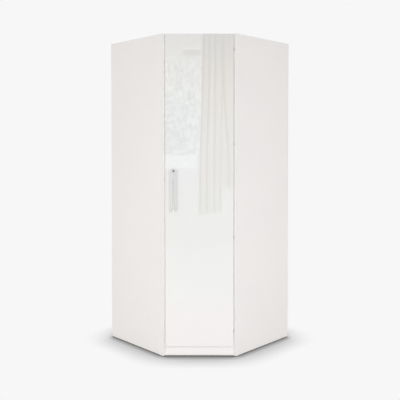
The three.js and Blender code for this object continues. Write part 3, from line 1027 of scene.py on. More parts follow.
@dataclass
class FasteningSet:
    """Gathers the places of one sort of fastening on one body.

    Attributes:
        name: The piece's name.
        head: The shape that is repeated.
        finish: Its finish.
        layout: Whether its places are points or lines.
        pitch: The spacing along lines.
        corners: The places so far.
        facings: The way that each one faces.
    """

    name: str
    head: Head
    finish: Finish
    layout: Layout = Layout.POINTS
    pitch: float = 0.1
    corners: list[Vector] = field(default_factory=list)
    facings: list[Vector] = field(default_factory=list)

    def at(self, place: Vector, facing: Vector) -> None:
        """Adds one place and the way that its head faces."""
        self.corners.append(place)
        self.facings.append(facing)

    def along(self, start: Vector, finish: Vector, facing: Vector) -> None:
        """Adds one line of places, from a start to a finish, and the way that their heads face."""
        self.at(start, facing)
        self.at(finish, facing)

    def fasten(self, body: Body) -> Piece:
        """Makes the piece and hands it to its body.

        Args:
            body: The body that carries it.

        Returns:
            The piece.
        """
        mesh = bpy.data.meshes.new(self.name + "_places")
        starts = range(0, len(self.corners), 2) if self.layout is Layout.LINES else ()
        mesh.from_pydata(self.corners, [(start, start + 1) for start in starts], [])
        facing = mesh.attributes.new("facing", "FLOAT_VECTOR", "POINT")
        facing.data.foreach_set("vector", [value for way in self.facings for value in way])
        piece = FasteningTree(self.layout).bake(self.name, mesh, self.head, self.finish, self.pitch)
        return deliver(piece, body)


# Sub-assemblies

# How much of a face's normal points along a direction, where the face is square to it, flat on it, next to
# such a face in a rounded edge, within the glue line, turned towards it, and at all on that side.
SQUARE, FLAT, BESIDE_FLAT, GLUED, TOWARDS, AT_ALL = 0.999, 0.95, 0.9, 0.8, 0.6, 0.1
BOARD_FINISHES = (FACE, BAND, CHIPBOARD, GLUE)


class Side(Enum):
    """The two sides of the wardrobe, seen from in front."""

    LEFT = -1
    RIGHT = 1

    @property
    def word(self) -> str:
        """The side's name in the names of the solids."""
        return self.name.lower()

    @property
    def inwards(self) -> Vector:
        """The way from the side's end panel into the wardrobe."""
        return Vector((-self.value * SLANT, SLANT, 0.0))

    @property
    def backwards(self) -> Vector:
        """The way from the side's front corner to its wall."""
        return Vector((self.value * SLANT, SLANT, 0.0))


@dataclass
class Carcass:
    """The faced boards, the hardboard backs, their tacks, and thin dark discs of painted shade at the shelf
    pin holes.

    Attributes:
        board: The boards' thickness.
        back_board: The hardboard's thickness.
        tack: The head of a tack.
        tack_pitch: The spacing of the tacks.
        tack_inset: How far the tacks stay inside a sheet's edges.
        hole: The thin disc at the mouth of a pin hole; its dark colour is painted shade.
        hole_pitch: The spacing of the pin holes.
        hole_inset: How far their columns stay from an end's edges.
        hole_margin: How far they stay over the base and under the shelf.
    """

    board: float = 18 * MM
    back_board: float = 3 * MM
    tack: Head = Head("tack_head", 2.6 * MM, 0.7 * MM, Recess.NONE)
    tack_pitch: float = 110 * MM
    tack_inset: float = 9 * MM
    hole: Head = Head("hole_mouth", 2.5 * MM, 0.08 * MM, Recess.NONE)
    hole_pitch: float = 32 * MM
    hole_inset: float = 60 * MM
    hole_margin: float = 190 * MM

    def build(self) -> None:
        """Builds every piece of the carcass."""
        for side in Side:
            rule = partial(self.end_face, side)
            self.dressing(rule).copy(side.word + "_end_panel", "faced_end_" + side.word)
            self.backs(side)
        decks = {"top_panel": "faced_top", "base_panel": "faced_base", "hat_shelf": "faced_hat_shelf"}
        for node, name in decks.items():
            self.dressing(self.deck_face).copy(node, name)
        finishes = (GLOSS, FACE, BAND, CHIPBOARD)
        plinth = Dressing(Body.CARCASS, Slot.GLOSS, BOARD_EDGES, finishes, self.plinth_face)
        plinth.copy("plinth_board", "gloss_plinth")
        self.dressing(self.post_face, (FACE, CHIPBOARD)).copy("rear_corner_post", "faced_post")
        self.tacks()
        self.shelf_holes()

    @staticmethod
    def dressing(rule: FaceRule, finishes: tuple[Finish, ...] = BOARD_FINISHES) -> Dressing:
        """Returns the dressing of a faced board, whose faces follow a rule."""
        return Dressing(Body.CARCASS, Slot.BOARD, BOARD_EDGES, finishes, rule)

    @staticmethod
    def end_face(side: Side, normal: Vector, _: Vector) -> Finish:
        """Finishes an end: faced on both sides, banded in front and on top, raw at its foot and at the wall.

        Args:
            side: Which end.
            normal: A face's normal.
            _: Its middle.

        Returns:
            The face's finish.
        """
        across = abs(normal.dot(side.inwards))
        if across > FLAT:
            return FACE
        if max(normal.dot(side.backwards), -normal.z) > BESIDE_FLAT:
            return CHIPBOARD
        return GLUE if across > GLUED else BAND

    @staticmethod
    def deck_face(normal: Vector, _: Vector) -> Finish:
        """Finishes a level board: faced above and below, banded to the front, raw at the backs.

        Args:
            normal: A face's normal.
            _: Its middle.

        Returns:
            The face's finish.
        """
        upwards = abs(normal.z)
        if upwards > GLUED:
            return FACE if upwards > FLAT else GLUE
        return BAND if -normal.y > TOWARDS else CHIPBOARD

    @staticmethod
    def plinth_face(normal: Vector, _: Vector) -> Finish:
        """Finishes the plinth: gloss in front, banded round that, faced behind and raw at its ends.

        Args:
            normal: A face's normal.
            _: Its middle.

        Returns:
            The face's finish.
        """
        if abs(normal.y) > FLAT:
            return GLOSS if normal.y < 0 else FACE
        return BAND if abs(normal.z) > TOWARDS or -normal.y > AT_ALL else CHIPBOARD

    @staticmethod
    def post_face(normal: Vector, _: Vector) -> Finish:
        """Finishes the corner post: faced all round, raw at its ends."""
        return CHIPBOARD if abs(normal.z) > BESIDE_FLAT else FACE

    @staticmethod
    def back_face(side: Side, normal: Vector, _: Vector) -> Finish:
        """Finishes a side's hardboard: brown to the wall and white elsewhere."""
        return HARDBOARD if normal.dot(side.backwards) > BESIDE_FLAT else LACQUER

    def backs(self, side: Side) -> None:
        """Dresses a side's hardboard sheets and their joint strip.

        Args:
            side: Which side.
        """
        finishes, rule = (HARDBOARD, LACQUER), partial(self.back_face, side)
        sheet = Dressing(Body.CARCASS, Slot.HARDBOARD, SHEET_EDGES, finishes, rule)
        for level in LEVELS:
            sheet.copy(f"{side.word}_back_{level}", f"hardboard_{side.word}_{level}")
        strip = Dressing(Body.CARCASS, Slot.PLASTIC, SHEET_EDGES, (PLASTIC,))
        strip.copy(side.word + "_back_joint_strip", "joint_strip_" + side.word)

    def tacks(self) -> None:
        """Tacks the sheets to the rear edges of the ends, the post, the top and the base."""
        tacks = FasteningSet("back_tacks", self.tack, ZINC, Layout.LINES, self.tack_pitch)
        for side in Side:
            for level in LEVELS:
                low, high = box(f"{side.word}_back_{level}")
                near_x, far_x = (low.x, high.x) if side is Side.RIGHT else (high.x, low.x)
                corner = Vector((near_x, high.y, 0.0))
                wall_end = Vector((far_x, low.y + self.back_board / SLANT, 0.0))
                run = (wall_end - corner).normalized()
                post_line = corner + run * (self.board + self.tack_inset)
                end_line = wall_end - run * self.tack_inset
                foot = Vector((0, 0, low.z + self.tack_inset))
                crown = Vector((0, 0, high.z - self.tack_inset))
                rail = foot if level == "lower" else crown
                tacks.along(post_line + foot, post_line + crown, side.backwards)
                tacks.along(end_line + foot, end_line + crown, side.backwards)
                tacks.along(post_line + rail, end_line + rail, side.backwards)
        tacks.fasten(Body.CARCASS)

    def shelf_holes(self) -> None:
        """Lays the two columns of shelf pin holes on the inner face of each end as thin discs, dark with
        painted shade.
        """
        holes = FasteningSet("shelf_pin_holes", self.hole, HOLE_SHADE, Layout.LINES, self.hole_pitch)
        lowest = Vector((0, 0, box("base_panel")[1].z + self.hole_margin))
        highest = Vector((0, 0, box("hat_shelf")[0].z - self.hole_margin))
        for side in Side:
            low, high = box(side.word + "_end_panel")
            rear_x, front_x = (low.x, high.x) if side is Side.LEFT else (high.x, low.x)
            step = side.backwards * self.hole_inset
            rear = Vector((rear_x, high.y, 0.0)) - step
            front = Vector((front_x, low.y + self.board * SLANT, 0.0)) + step
            for place in (rear, front):
                holes.along(place + lowest, place + highest, side.inwards)
        holes.fasten(Body.CARCASS)


@dataclass
class Door:
    """The gloss door, its chrome bow handle, the screws behind it and the soft lips beside it.

    Attributes:
        back_margin: Faces this close to the back count as the back.
        bar_thickness: The handle's thickness.
        foot_length: The height of each of its feet.
        outer_bend: The radius of its outer bends.
        inner_bend: The radius of its inner bends.
        bend_steps: The number of stretches in a bend.
        fullness: How full the handle's section is: 2 is an oval, and more comes nearer to a rectangle.
        section_sides: The number of sides of that section.
        lip_end: How far a lip stays inside the door's top and foot.
        lip_break: Half the length that the hinge side's lip leaves free for an arm.
        lip_inset: How far behind the door's face, and before its back, that lip stays.
        roll_radius: The radius on which it rolls past the end panel.
        roll_end: How far before the door's back its rolled part ends.
        roll_steps: The number of stretches in that part.
        groove_width: The width of the groove between that lip and the door's edge.
        groove_depth: The groove's depth.
        free_reach: How far the free side's lip reaches.
        free_shoulder: How much of that it reaches at its shoulders.
        free_front: How far behind the door's face it starts.
        free_back: How far before the door's back it ends.
        free_slope: How far its shoulders, and then its flat part, lie from its two rims.
    """

    back_margin: float = MM
    bar_thickness: float = 6 * MM
    foot_length: float = 20 * MM
    outer_bend: float = 16 * MM
    inner_bend: float = 8 * MM
    bend_steps: int = 14
    fullness: float = 2.6
    section_sides: int = 28
    lip_end: float = MM
    lip_break: float = 5 * MM
    lip_inset: float = 0.8 * MM
    roll_radius: float = 11.6 * MM
    roll_end: float = 5.5 * MM
    roll_steps: int = 8
    groove_width: float = 1.1 * MM
    groove_depth: float = 6 * MM
    free_reach: float = 1.6 * MM
    free_shoulder: float = 0.7
    free_front: float = 5 * MM
    free_back: float = 2 * MM
    free_slope: tuple[float, float] = (MM, 3 * MM)

    def build(self) -> None:
        """Builds every piece of the door."""
        rule = partial(self.face, box("door_panel")[1].y - self.back_margin)
        panel = Dressing(Body.DOOR, Slot.GLOSS, BOARD_EDGES, (GLOSS, FACE, CHIPBOARD, BAND), rule)
        panel.copy("door_panel", "gloss_door")
        self.handle()
        self.hinge_side_lip()
        self.free_side_lip()
        for level in reversed(LEVELS):
            metal_copy("handle_screw_" + level, "fixing_screw_" + level, Slot.STEEL, Body.DOOR)

    @staticmethod
    def face(back: float, normal: Vector, middle: Vector) -> Finish:
        """Finishes the door: gloss in front, banded on its edges, satin behind, raw inside the cup holes.

        Args:
            back: Where the back starts along Y.
            normal: A face's normal.
            middle: Its middle.

        Returns:
            The face's finish.
        """
        at_back = middle.y > back
        if normal.y > FLAT:
            return FACE if at_back else CHIPBOARD
        if max(abs(normal.x), abs(normal.z)) > SQUARE:
            return BAND
        return GLOSS if -normal.y > AT_ALL or at_back else CHIPBOARD

    def handle(self) -> None:
        """Bends the handle from one bar: deep feet, a slim grip and a crowned section all along."""
        low, high = box("handle")
        middle = Vector(((low.x + high.x) / 2, 0, 0))
        outer = self.bow(middle, high, low.z, low.y, self.outer_bend)
        foot = Vector((0, 0, self.foot_length))
        inner = self.bow(middle, high - foot, low.z + foot.z, low.y + self.bar_thickness, self.inner_bend)
        bm = self.swept(outer, inner, (high.x - low.x) / 2)
        deliver(piece_of(bm, "chrome_bow", CHROME), Body.DOOR, "handle")

    def bow(self, middle: Vector, top: Vector, foot: float, grip: float, bend: float) -> list[Vector]:
        """Works out one line of the handle: out from the door, down along the grip and back.

        Args:
            middle: The handle's middle along X.
            top: The line's start at the door.
            foot: The height of its end at the door.
            grip: Its place along Y at the grip.
            bend: The radius of its bends.

        Returns:
            The line's points.
        """
        upper = middle + Vector((0, grip + bend, top.z - bend))
        lower = middle + Vector((0, grip + bend, foot + bend))
        points = [middle + Vector((0, top.y, top.z))]
        points += arc(upper, bend, 90, 180, self.bend_steps)
        points += arc(lower, bend, 180, 270, self.bend_steps)
        return points + [middle + Vector((0, top.y, foot))]

    def swept(self, outer: Sequence[Vector], inner: Sequence[Vector], half_width: float) -> Shape:
        """Sweeps a crowned section between an outer and an inner line.

        Args:
            outer: The points of the outer line.
            inner: The points of the inner line, as many as the outer line has.
            half_width: Half the section's width along X.

        Returns:
            The closed shape.
        """
        turns = [math.tau * (step + 0.5) / self.section_sides for step in range(self.section_sides)]
        section = [(self.crowned(math.cos(turn)), self.crowned(math.sin(turn))) for turn in turns]
        sideways = Vector((half_width, 0, 0))
        bm = bmesh.new()
        rings = []
        for far, near in zip(outer, inner):
            centre, reach = (far + near) / 2, (far - near) / 2
            ring = [centre + sideways * across + reach * along for across, along in section]
            rings.append([bm.verts.new(point) for point in ring])
        for first, second in zip(rings, rings[1:]):
            wall(bm, first, second, smooth=True)
        bm.faces.new(rings[0])
        bm.faces.new(rings[-1])
        bmesh.ops.recalc_face_normals(bm, faces=bm.faces)
        return bm

    def crowned(self, share: float) -> float:
        """Turns a share of a circle's radius into that of the fuller section."""
        return math.copysign(abs(share) ** (2.0 / self.fullness), share)

    def hinge_side_lip(self) -> None:
        """Adds the lip on the hinge side, which rolls past the end panel and leaves each arm free."""
        low, high = box("door_panel")
        pin_low, pin_high = box("hinge_pin_1")
        axis = Vector(((pin_low.x + pin_high.x) / 2, (pin_low.y + pin_high.y) / 2, 0))
        edge, tip = high.x - axis.x, low.y + self.lip_inset - axis.y
        start = math.degrees(math.asin(tip / self.roll_radius))
        finish = math.degrees(math.asin((high.y - self.roll_end - axis.y) / self.roll_radius))
        grooved = edge + self.groove_width
        foot = tip + self.groove_depth
        section = [axis + Vector((x, y, 0)) for x, y in ((edge, foot), (grooved, foot), (grooved, tip))]
        section += arc(axis, self.roll_radius, start, finish, self.roll_steps, LEVEL)
        section.append(Vector((high.x, high.y - self.lip_inset, 0)))
        stops = [low.z + self.lip_end]
        for number in HINGE_NUMBERS:
            cup_low, cup_high = box(f"hinge_cup_{number}")
            middle = (cup_low.z + cup_high.z) / 2
            stops += [middle - self.lip_break, middle + self.lip_break]
        stops.append(high.z - self.lip_end)
        self.lip("hinge_side_seal", section, stops)

    def free_side_lip(self) -> None:
        """Adds the lip on the free side."""
        low, high = box("door_panel")
        front, back = low.y + self.free_front, high.y - self.free_back
        shoulder, flat = self.free_slope
        half = ((0, 0), (-self.free_reach * self.free_shoulder, shoulder), (-self.free_reach, flat))
        section = [Vector((low.x + x, front + y, 0)) for x, y in half]
        section += [Vector((low.x + x, back - y, 0)) for x, y in reversed(half)]
        self.lip("free_side_seal", section, [low.z + self.lip_end, high.z - self.lip_end])

    @staticmethod
    def lip(name: str, section: Sequence[Vector], stops: Sequence[float]) -> None:
        """Makes a lip of one or more lengths.

        Args:
            name: The piece's name.
            section: Its section, as points in the floor's plane.
            stops: The heights where its lengths start and end, in turn.
        """
        lip = bmesh.new()
        for bottom, top in zip(stops[::2], stops[1::2]):
            outline = [point + Vector((0, 0, bottom)) for point in section]
            length = mesh_from(drawn_out(outline, Vector((0, 0, top - bottom))), "lip_length")
            lip.from_mesh(length)
            bpy.data.meshes.remove(length)
        deliver(piece_of(lip, name, SEAL), Body.DOOR)


@dataclass
class Hinges:
    """Four concealed hinges with their screws.

    Attributes:
        screw: The head of a hinge's screw.
        screw_reach: How far the screws of a cup, and of a plate, stand over and under its middle.
        arm_screws: How far the screws of an arm stand before its end.
        margin: Corners this close to an end count as being there.
    """

    screw: Head = Head("hinge_screw_head", 3.6 * MM, 1.6 * MM)
    screw_reach: float = 24 * MM
    arm_screws: tuple[float, ...] = (8 * MM, 20 * MM)
    margin: float = MM

    def build(self) -> None:
        """Builds every hinge and all their screws."""
        cup_screws = FasteningSet("hinge_cup_screws", self.screw, ZINC)
        plate_screws = FasteningSet("hinge_plate_screws", self.screw, ZINC)
        for number in HINGE_NUMBERS:
            self.metalwork(number)
            low, high = box(f"hinge_cup_{number}")
            seat = Vector(((low.x + high.x) / 2, high.y, (low.z + high.z) / 2))
            for way in (-self.screw_reach, self.screw_reach):
                cup_screws.at(seat + Vector((0, 0, way)), Vector((0, 1, 0)))
            self.plate_places(number, plate_screws)
        cup_screws.fasten(Body.DOOR)
        plate_screws.fasten(Body.CARCASS)

    @staticmethod
    def metalwork(number: int) -> None:
        """Dresses a hinge's cup, pin, arm and plate.

        Args:
            number: The hinge, counted from the floor.
        """
        for part in ("cup", "pin", "arm", "plate"):
            slot = Slot.STEEL if part == "pin" else Slot.NICKEL
            body = Body.DOOR if part in ("cup", "pin") else Body.CARCASS
            metal_copy(f"hinge_{part}_{number}", f"hinge_{number}_{part}", slot, body)

    def plate_places(self, number: int, screws: FasteningSet) -> None:
        """Adds the two screws of a mounting plate and the two on its arm.

        Args:
            number: The hinge, counted from the floor.
            screws: The set that takes the places.
        """
        inwards, backwards = Side.RIGHT.inwards, Side.RIGHT.backwards
        low, high = box(f"hinge_plate_{number}")
        middle = (low + high) / 2
        corners = self.corners(f"hinge_plate_{number}")
        wings = [point for point in corners if min(point.z - low.z, high.z - point.z) < self.margin]
        face = max(point.dot(inwards) for point in wings)
        seat = middle + inwards * (face - middle.dot(inwards))
        for way in (-self.screw_reach, self.screw_reach):
            screws.at(seat + Vector((0, 0, way)), inwards)
        corners = self.corners(f"hinge_arm_{number}")
        end = max(point.dot(backwards) for point in corners)
        lid = max(point.dot(inwards) for point in corners if point.dot(backwards) > end - self.margin)
        for before in self.arm_screws:
            place = backwards * (end - before) + inwards * lid + Vector((0, 0, middle.z))
            screws.at(place, inwards)

    @staticmethod
    def corners(node: str) -> list[Vector]:
        """Lists a solid's corners."""
        return [vertex.co.copy() for vertex in bpy.data.objects[node].data.vertices]


@dataclass
class HangingRail:
    """The oval rail and its two brackets under the hat shelf.

    Attributes:
        wall: The thickness of the rail's wall.
        steps: The number of stretches in half its section.
        screw: The head of a bracket's screw.
        screw_inset: How far the screws stay inside a bracket's edges.
        flange: The thickness of a bracket's flange.
    """

    wall: float = 1.2 * MM
    steps: int = 16
    screw: Head = Head("rail_screw_head", 3.6 * MM, 1.8 * MM)
    screw_inset: float = 8 * MM
    flange: float = 3 * MM

    def build(self) -> None:
        """Builds the rail, its brackets and their screws."""
        low, high = box("hanging_rail")
        outer, hollow = (self.oval(low, high, inset) for inset in (0.0, self.wall))
        bm = drawn_out(outer, Vector((high.x - low.x, 0, 0)), hollow)
        for face in bm.faces:
            face.smooth = abs(face.normal.x) < TOWARDS
        deliver(piece_of(bm, "oval_rail", CHROME), Body.CARCASS, "hanging_rail")
        screws = FasteningSet("rail_bracket_screws", self.screw, ZINC)
        for side in Side:
            node = "rail_bracket_" + side.word
            metal_copy(node, "rail_hanger_" + side.word, Slot.CHROME)
            low, high = box(node)
            for y in (low.y + self.screw_inset, high.y - self.screw_inset):
                screws.at(Vector(((low.x + high.x) / 2, y, high.z - self.flange)), Vector((0, 0, -1)))
        screws.fasten(Body.CARCASS)

    def oval(self, low: Vector, high: Vector, inset: float) -> list[Vector]:
        """Works out the rail's oval section at its left end.

        Args:
            low: The rail's lowest corner.
            high: Its highest corner.
            inset: How far inside the outer face.

        Returns:
            The section's points.
        """
        outer = (high.y - low.y) / 2
        upper = Vector((low.x, low.y + outer, high.z - outer))
        lower = Vector((low.x, low.y + outer, low.z + outer))
        radius = outer - inset
        return arc(upper, radius, 0, 180, self.steps) + arc(lower, radius, 180, 360, self.steps)


@dataclass
class SmallFittings:
    """Shelf pins, cams, feet, plinth angles and felt pads.

    Attributes:
        steps: The number of sides of a leg or glide.
        foot_share: A leg's foot, as a share of its head.
        stem_share: Its stem, as a share of its head.
        foot_height: The height of its foot.
        head_height: The height of its head.
        rounding: How far its rims are rounded, and how deep the grooves under its ribs are.
        ribs: The number of its ribs.
        rib_margin: How far the ribs stay from its foot and from its head's top.
        groove: Where a groove is deep from and to, and where it ends, as shares of a rib.
        sharp: The angle, in degrees, over which its edges look sharp.
        bowl: A glide's outline, in shares of its radius and height.
        pad_steps: The number of sides of a felt pad.
        pad_outline: Its outline, in shares of its radius and depth.
        screw: The head of a plinth angle's screw.
        angle_wall: The thickness of a plinth angle.
        screw_inset: How far its screws stay inside its edges.
    """

    steps: int = 40
    foot_share: float = 0.89
    stem_share: float = 0.57
    foot_height: float = 8 * MM
    head_height: float = 6 * MM
    rounding: float = MM
    ribs: int = 5
    rib_margin: float = 11 * MM
    groove: tuple[float, float, float] = (0.2, 0.6, 0.8)
    sharp: float = 35.0
    bowl: Outline = ((0.0, 0.0), (0.75, 0.0), (0.93, 0.2), (1.0, 0.5), (1.0, 1.0), (0.0, 1.0))
    pad_steps: int = 24
    pad_outline: Outline = ((0.0, 0.0), (1.0, 0.0), (1.0, 0.6), (0.85, 0.93), (0.6, 1.0), (0.0, 1.0))
    screw: Head = Head("angle_screw_head", 3.4 * MM, 1.6 * MM)
    angle_wall: float = 2 * MM
    screw_inset: float = 10 * MM

    def build(self) -> None:
        """Builds every small fitting."""
        for side in Side:
            for place in ("front", "rear", "post"):
                end = f"{side.word}_{place}"
                metal_copy("shelf_support_" + end, "shelf_pin_" + end, Slot.NICKEL)
            for place in ("front", "rear"):
                end = f"{side.word}_{place}"
                self.glide("glide_" + end)
                for deck in ("top", "base"):
                    metal_copy(f"{deck}_cam_{end}", f"{deck}_fitting_{end}", Slot.NICKEL)
            metal_copy("plinth_bracket_" + side.word, "plinth_angle_" + side.word, Slot.STEEL)
        for node in ("centre_leg", "rear_leg"):
            self.leg(node)
        for level in LEVELS:
            self.pad("door_bumper_" + level, "felt_pad_" + level)
        self.bracket_screws()

    @staticmethod
    def put(bm: Shape, place: Vector, node: str, name: str, slot: Slot) -> Piece:
        """Moves a turned fitting to its place, in its slot's finish, and lets it stand for its solid."""
        bmesh.ops.translate(bm, verts=bm.verts, vec=place)
        return deliver(piece_of(bm, name, SLOT_FINISHES[slot]), Body.CARCASS, node)

    def leg(self, node: str) -> None:
        """Turns an adjustable leg: a rounded foot, a ribbed stem and a flat head under the base.

        Args:
            node: The solid that it stands for.
        """
        low, high = box(node)
        head, height, soft = (high.x - low.x) / 2, high.z, self.rounding
        foot, stem, flat = head * self.foot_share, head * self.stem_share, self.foot_height
        profile = [(0, 0), (foot - soft, 0), (foot, soft)]
        profile += [(foot, flat - soft), (foot - soft, flat), (stem, flat)]
        rib = (height - 2 * self.rib_margin) / self.ribs
        radii = (stem, stem - soft, stem - soft, stem)
        for number in range(self.ribs):
            base = self.rib_margin + rib * number
            profile += [(radius, base + rib * share) for radius, share in zip(radii, (0.0, *self.groove))]
        plate = height - self.head_height
        profile += [(stem, plate), (head - soft, plate), (head, plate + soft), (head, height), (0, height)]
        place = Vector(((low.x + high.x) / 2, (low.y + high.y) / 2, 0))
        piece = self.put(turned(profile, self.steps), place, node, "adjustable_" + node, Slot.PLASTIC)
        piece.data.set_sharp_from_angle(angle=math.radians(self.sharp))

    def glide(self, node: str) -> None:
        """Turns a nail-on glide with a rounded foot.

        Args:
            node: The solid that it stands for.
        """
        low, high = box(node)
        bm = turned(scaled(self.bowl, (high.x - low.x) / 2, high.z), self.steps)
        place = Vector(((low.x + high.x) / 2, (low.y + high.y) / 2, 0))
        self.put(bm, place, node, "round_" + node, Slot.PLASTIC)

    def pad(self, node: str, name: str) -> None:
        """Cuts a felt pad with a soft rim.

        Args:
            node: The solid that it stands for.
            name: The piece's name.
        """
        low, high = box(node)
        bm = turned(scaled(self.pad_outline, (high.x - low.x) / 2, high.y - low.y), self.pad_steps)
        bmesh.ops.rotate(bm, verts=bm.verts, cent=(0, 0, 0), matrix=Matrix.Rotation(math.pi / 2, 3, "X"))
        place = Vector(((low.x + high.x) / 2, high.y, (low.z + high.z) / 2))
        self.put(bm, place, node, name, Slot.FELT)

    def bracket_screws(self) -> None:
        """Screws the plinth angles to the plinth and the base."""
        screws = FasteningSet("plinth_angle_screws", self.screw, ZINC)
        for side in Side:
            low, high = box("plinth_bracket_" + side.word)
            x = (low.x + high.x) / 2
            screws.at(Vector((x, low.y + self.angle_wall, low.z + self.screw_inset)), Vector((0, 1, 0)))
            screws.at(Vector((x, high.y - self.screw_inset, high.z - self.angle_wall)), Vector((0, 0, -1)))
        screws.fasten(Body.CARCASS)


class CarriedSolids:
    """The frame's own solids, each in the finish of its slot, so that none is left plain."""

    @staticmethod
    def build() -> None:
        """Gives every solid the finish of its own slot."""
        for part in frame["record"]["subparts"]:
            solid = frame["nodes"][part["node"]]
            solid.data.materials.clear()
            solid.data.materials.append(SLOT_FINISHES[Slot(part["material_slot"])].material())


# Studio


@dataclass(frozen=True)
class PhotoCamera:
    """The camera of the photograph, fitted to the wardrobe's outer corners.

    Attributes:
        away: How far it stands in front of the door.
        sideways: How far it stands to the right of the middle.
        height: Its height over the floor.
        pitch: How far it looks down, in radians.
        yaw: How far it looks to the left, in radians.
        focal: The focal length in pixels of the photograph's frame.
        rise: How far the middle of the view lies above the middle of the frame, in such pixels.
        frame_size: The side of the frame in pixels.
        sensor: The side of the sensor in millimetres.
        far_end: How far the camera sees.
    """

    away: float = 3.700
    sideways: float = 0.0191
    height: float = 1.3859
    pitch: float = 0.0246
    yaw: float = 0.0044
    focal: float = 571.95
    rise: float = 41.57
    frame_size: float = 400.0
    sensor: float = 36.0
    far_end: float = 200.0

    def build(self) -> None:
        """Sets the camera up and makes it the scene's own."""
        data = bpy.data.cameras.new("photo_camera")
        data.sensor_fit = "HORIZONTAL"
        data.sensor_width = self.sensor
        data.lens = self.sensor * self.focal / self.frame_size
        data.shift_y = -self.rise / self.frame_size
        data.clip_end = self.far_end
        camera = link("photo_camera", data)
        camera.location = self.place()
        camera.rotation_euler = (math.pi / 2 - self.pitch, 0.0, self.yaw)
        bpy.context.scene.camera = camera

    def place(self) -> Vector:
        """Returns where the camera stands."""
        return Vector((self.sideways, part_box("door_panel")[0][1] - self.away, self.height))


@dataclass(frozen=True)
class Lamp:
    """A soft square lamp. It lights the object, but doesn't show in mirrors.

    Attributes:
        name: Its name.
        place: Where it hangs.
        aim: The point that it faces.
        size: The side of the square.
        power: Its power in watts.
        color: Its colour.
    """

    name: str
    place: Point
    aim: Point
    size: float
    power: float
    color: Color = (1.0, 1.0, 1.0)

    def build(self) -> None:
        """Hangs the lamp."""
        data = bpy.data.lights.new(self.name, "AREA")
        data.shape = "SQUARE"
        data.size = self.size
        data.energy = self.power
        data.color = self.color
        lamp = link(self.name, data)
        lamp.location = self.place
        lamp.rotation_euler = (Vector(self.aim) - Vector(self.place)).to_track_quat("-Z", "Y").to_euler()
        lamp.visible_glossy = False


LAMPS = (
    Lamp("key_lamp", (-1.92, -2.85, 1.05), (-0.15, -0.5, 1.1), 0.45, 18.0),
    Lamp("fill_lamp", (1.80, -2.90, 1.00), (0.15, -0.5, 1.0), 0.7, 18.0, (0.97, 1.0, 1.03)),
)


@dataclass(frozen=True)
class Studio:
    """A pale floor and an even sky round the wardrobe.

    Attributes:
        paper: The brightness of the background and of the floor.
        sky: The strength of the sky's light.
        sky_tint: The sky's colour.
        floor_reach: Half the side of the floor.
        floor_parts: The number of faces along that side.
        wide_reach: How far the wardrobe's faint shadow reaches over the floor.
        wide_depth: How deep that shadow is.
        near_reach: How far its dark inner part reaches.
        near_depth: How deep that part is.
        side_share: How far it reaches beside the ends, as a share of its reach in front.
        side_band: How far from the middle that share starts, and where it is reached.
        shadow_samples: The number of rays that find the shadow.
    """

    paper: float = 0.930
    sky: float = 0.77
    sky_tint: Color = (1.0, 0.993, 0.985)
    floor_reach: float = 60.0
    floor_parts: int = 8
    wide_reach: float = 0.22
    wide_depth: float = 1.05
    near_reach: float = 0.08
    near_depth: float = 1.1
    side_share: float = 0.66
    side_band: tuple[float, float] = (0.2, 0.32)
    shadow_samples: int = 16

    def build(self) -> None:
        """Builds the studio."""
        bpy.context.scene.view_settings.view_transform = "Standard"
        self.world()
        self.floor()

    @property
    def paper_color(self) -> Color:
        """The colour of the background and of the floor."""
        return (self.paper, self.paper, self.paper)

    @staticmethod
    def seen_or_mirrored(canvas: Canvas, plain: Node, seen: Node) -> Socket:
        """Adds a shader that looks one way to the camera, mirrors and glass, and another way to the light.

        Args:
            canvas: A material's or the world's canvas.
            plain: What the light meets.
            seen: What the camera, a mirror or glass shows.

        Returns:
            The mixed shader.
        """
        path = canvas.add("ShaderNodeLightPath").outputs
        mirror = canvas.math("MAXIMUM", path["Is Glossy Ray"], path["Is Transmission Ray"])
        either = canvas.math("MAXIMUM", path["Is Camera Ray"], mirror)
        inputs = {0: either, 1: plain.outputs[0], 2: seen.outputs[0]}
        return canvas.add("ShaderNodeMixShader", inputs).outputs[0]

    def world(self) -> None:
        """Lights the object evenly, behind a plain pale background."""
        world = bpy.data.worlds.new("pale_sky")
        bpy.context.scene.world = world
        world.use_nodes = True
        canvas = Canvas(world.node_tree)
        paper = canvas.add("ShaderNodeBackground", {"Color": self.paper_color})
        light = canvas.add("ShaderNodeBackground", {"Color": self.sky_tint, "Strength": self.sky})
        canvas.add("ShaderNodeOutputWorld", {"Surface": self.seen_or_mirrored(canvas, light, paper)})

    def floor(self) -> None:
        """Lays a floor that melts into the background and keeps the shadow round the wardrobe's foot."""
        bm = bmesh.new()
        parts = self.floor_parts
        bmesh.ops.create_grid(bm, x_segments=parts, y_segments=parts, size=self.floor_reach)
        material, canvas = new_material("floor_paper")
        aside = canvas.math("ABSOLUTE", canvas.split(canvas.place())[0])
        near = canvas.ramp(aside, *self.side_band, self.near_reach, self.near_reach * self.side_share)
        wide = canvas.product(self.shade(canvas, self.wide_reach, self.wide_depth), self.paper)
        tone = canvas.product(self.shade(canvas, near, self.near_depth), wide)
        seen = canvas.add("ShaderNodeEmission", {"Color": tone})
        matt = canvas.add("ShaderNodeBsdfDiffuse", {"Color": self.paper_color})
        canvas.add("ShaderNodeOutputMaterial", {"Surface": self.seen_or_mirrored(canvas, matt, seen)})
        floor = piece_of(bm, "studio_floor")
        floor.data.materials.append(material)

    def shade(self, canvas: Canvas, reach: Value, depth: float) -> Socket:
        """Adds a layer of the shadow round the foot, of a reach and a depth. Outside it the layer is one."""
        sky = canvas.add("ShaderNodeAmbientOcclusion", {"Distance": reach}, samples=self.shadow_samples)
        return canvas.math("POWER", sky.outputs["AO"], depth)


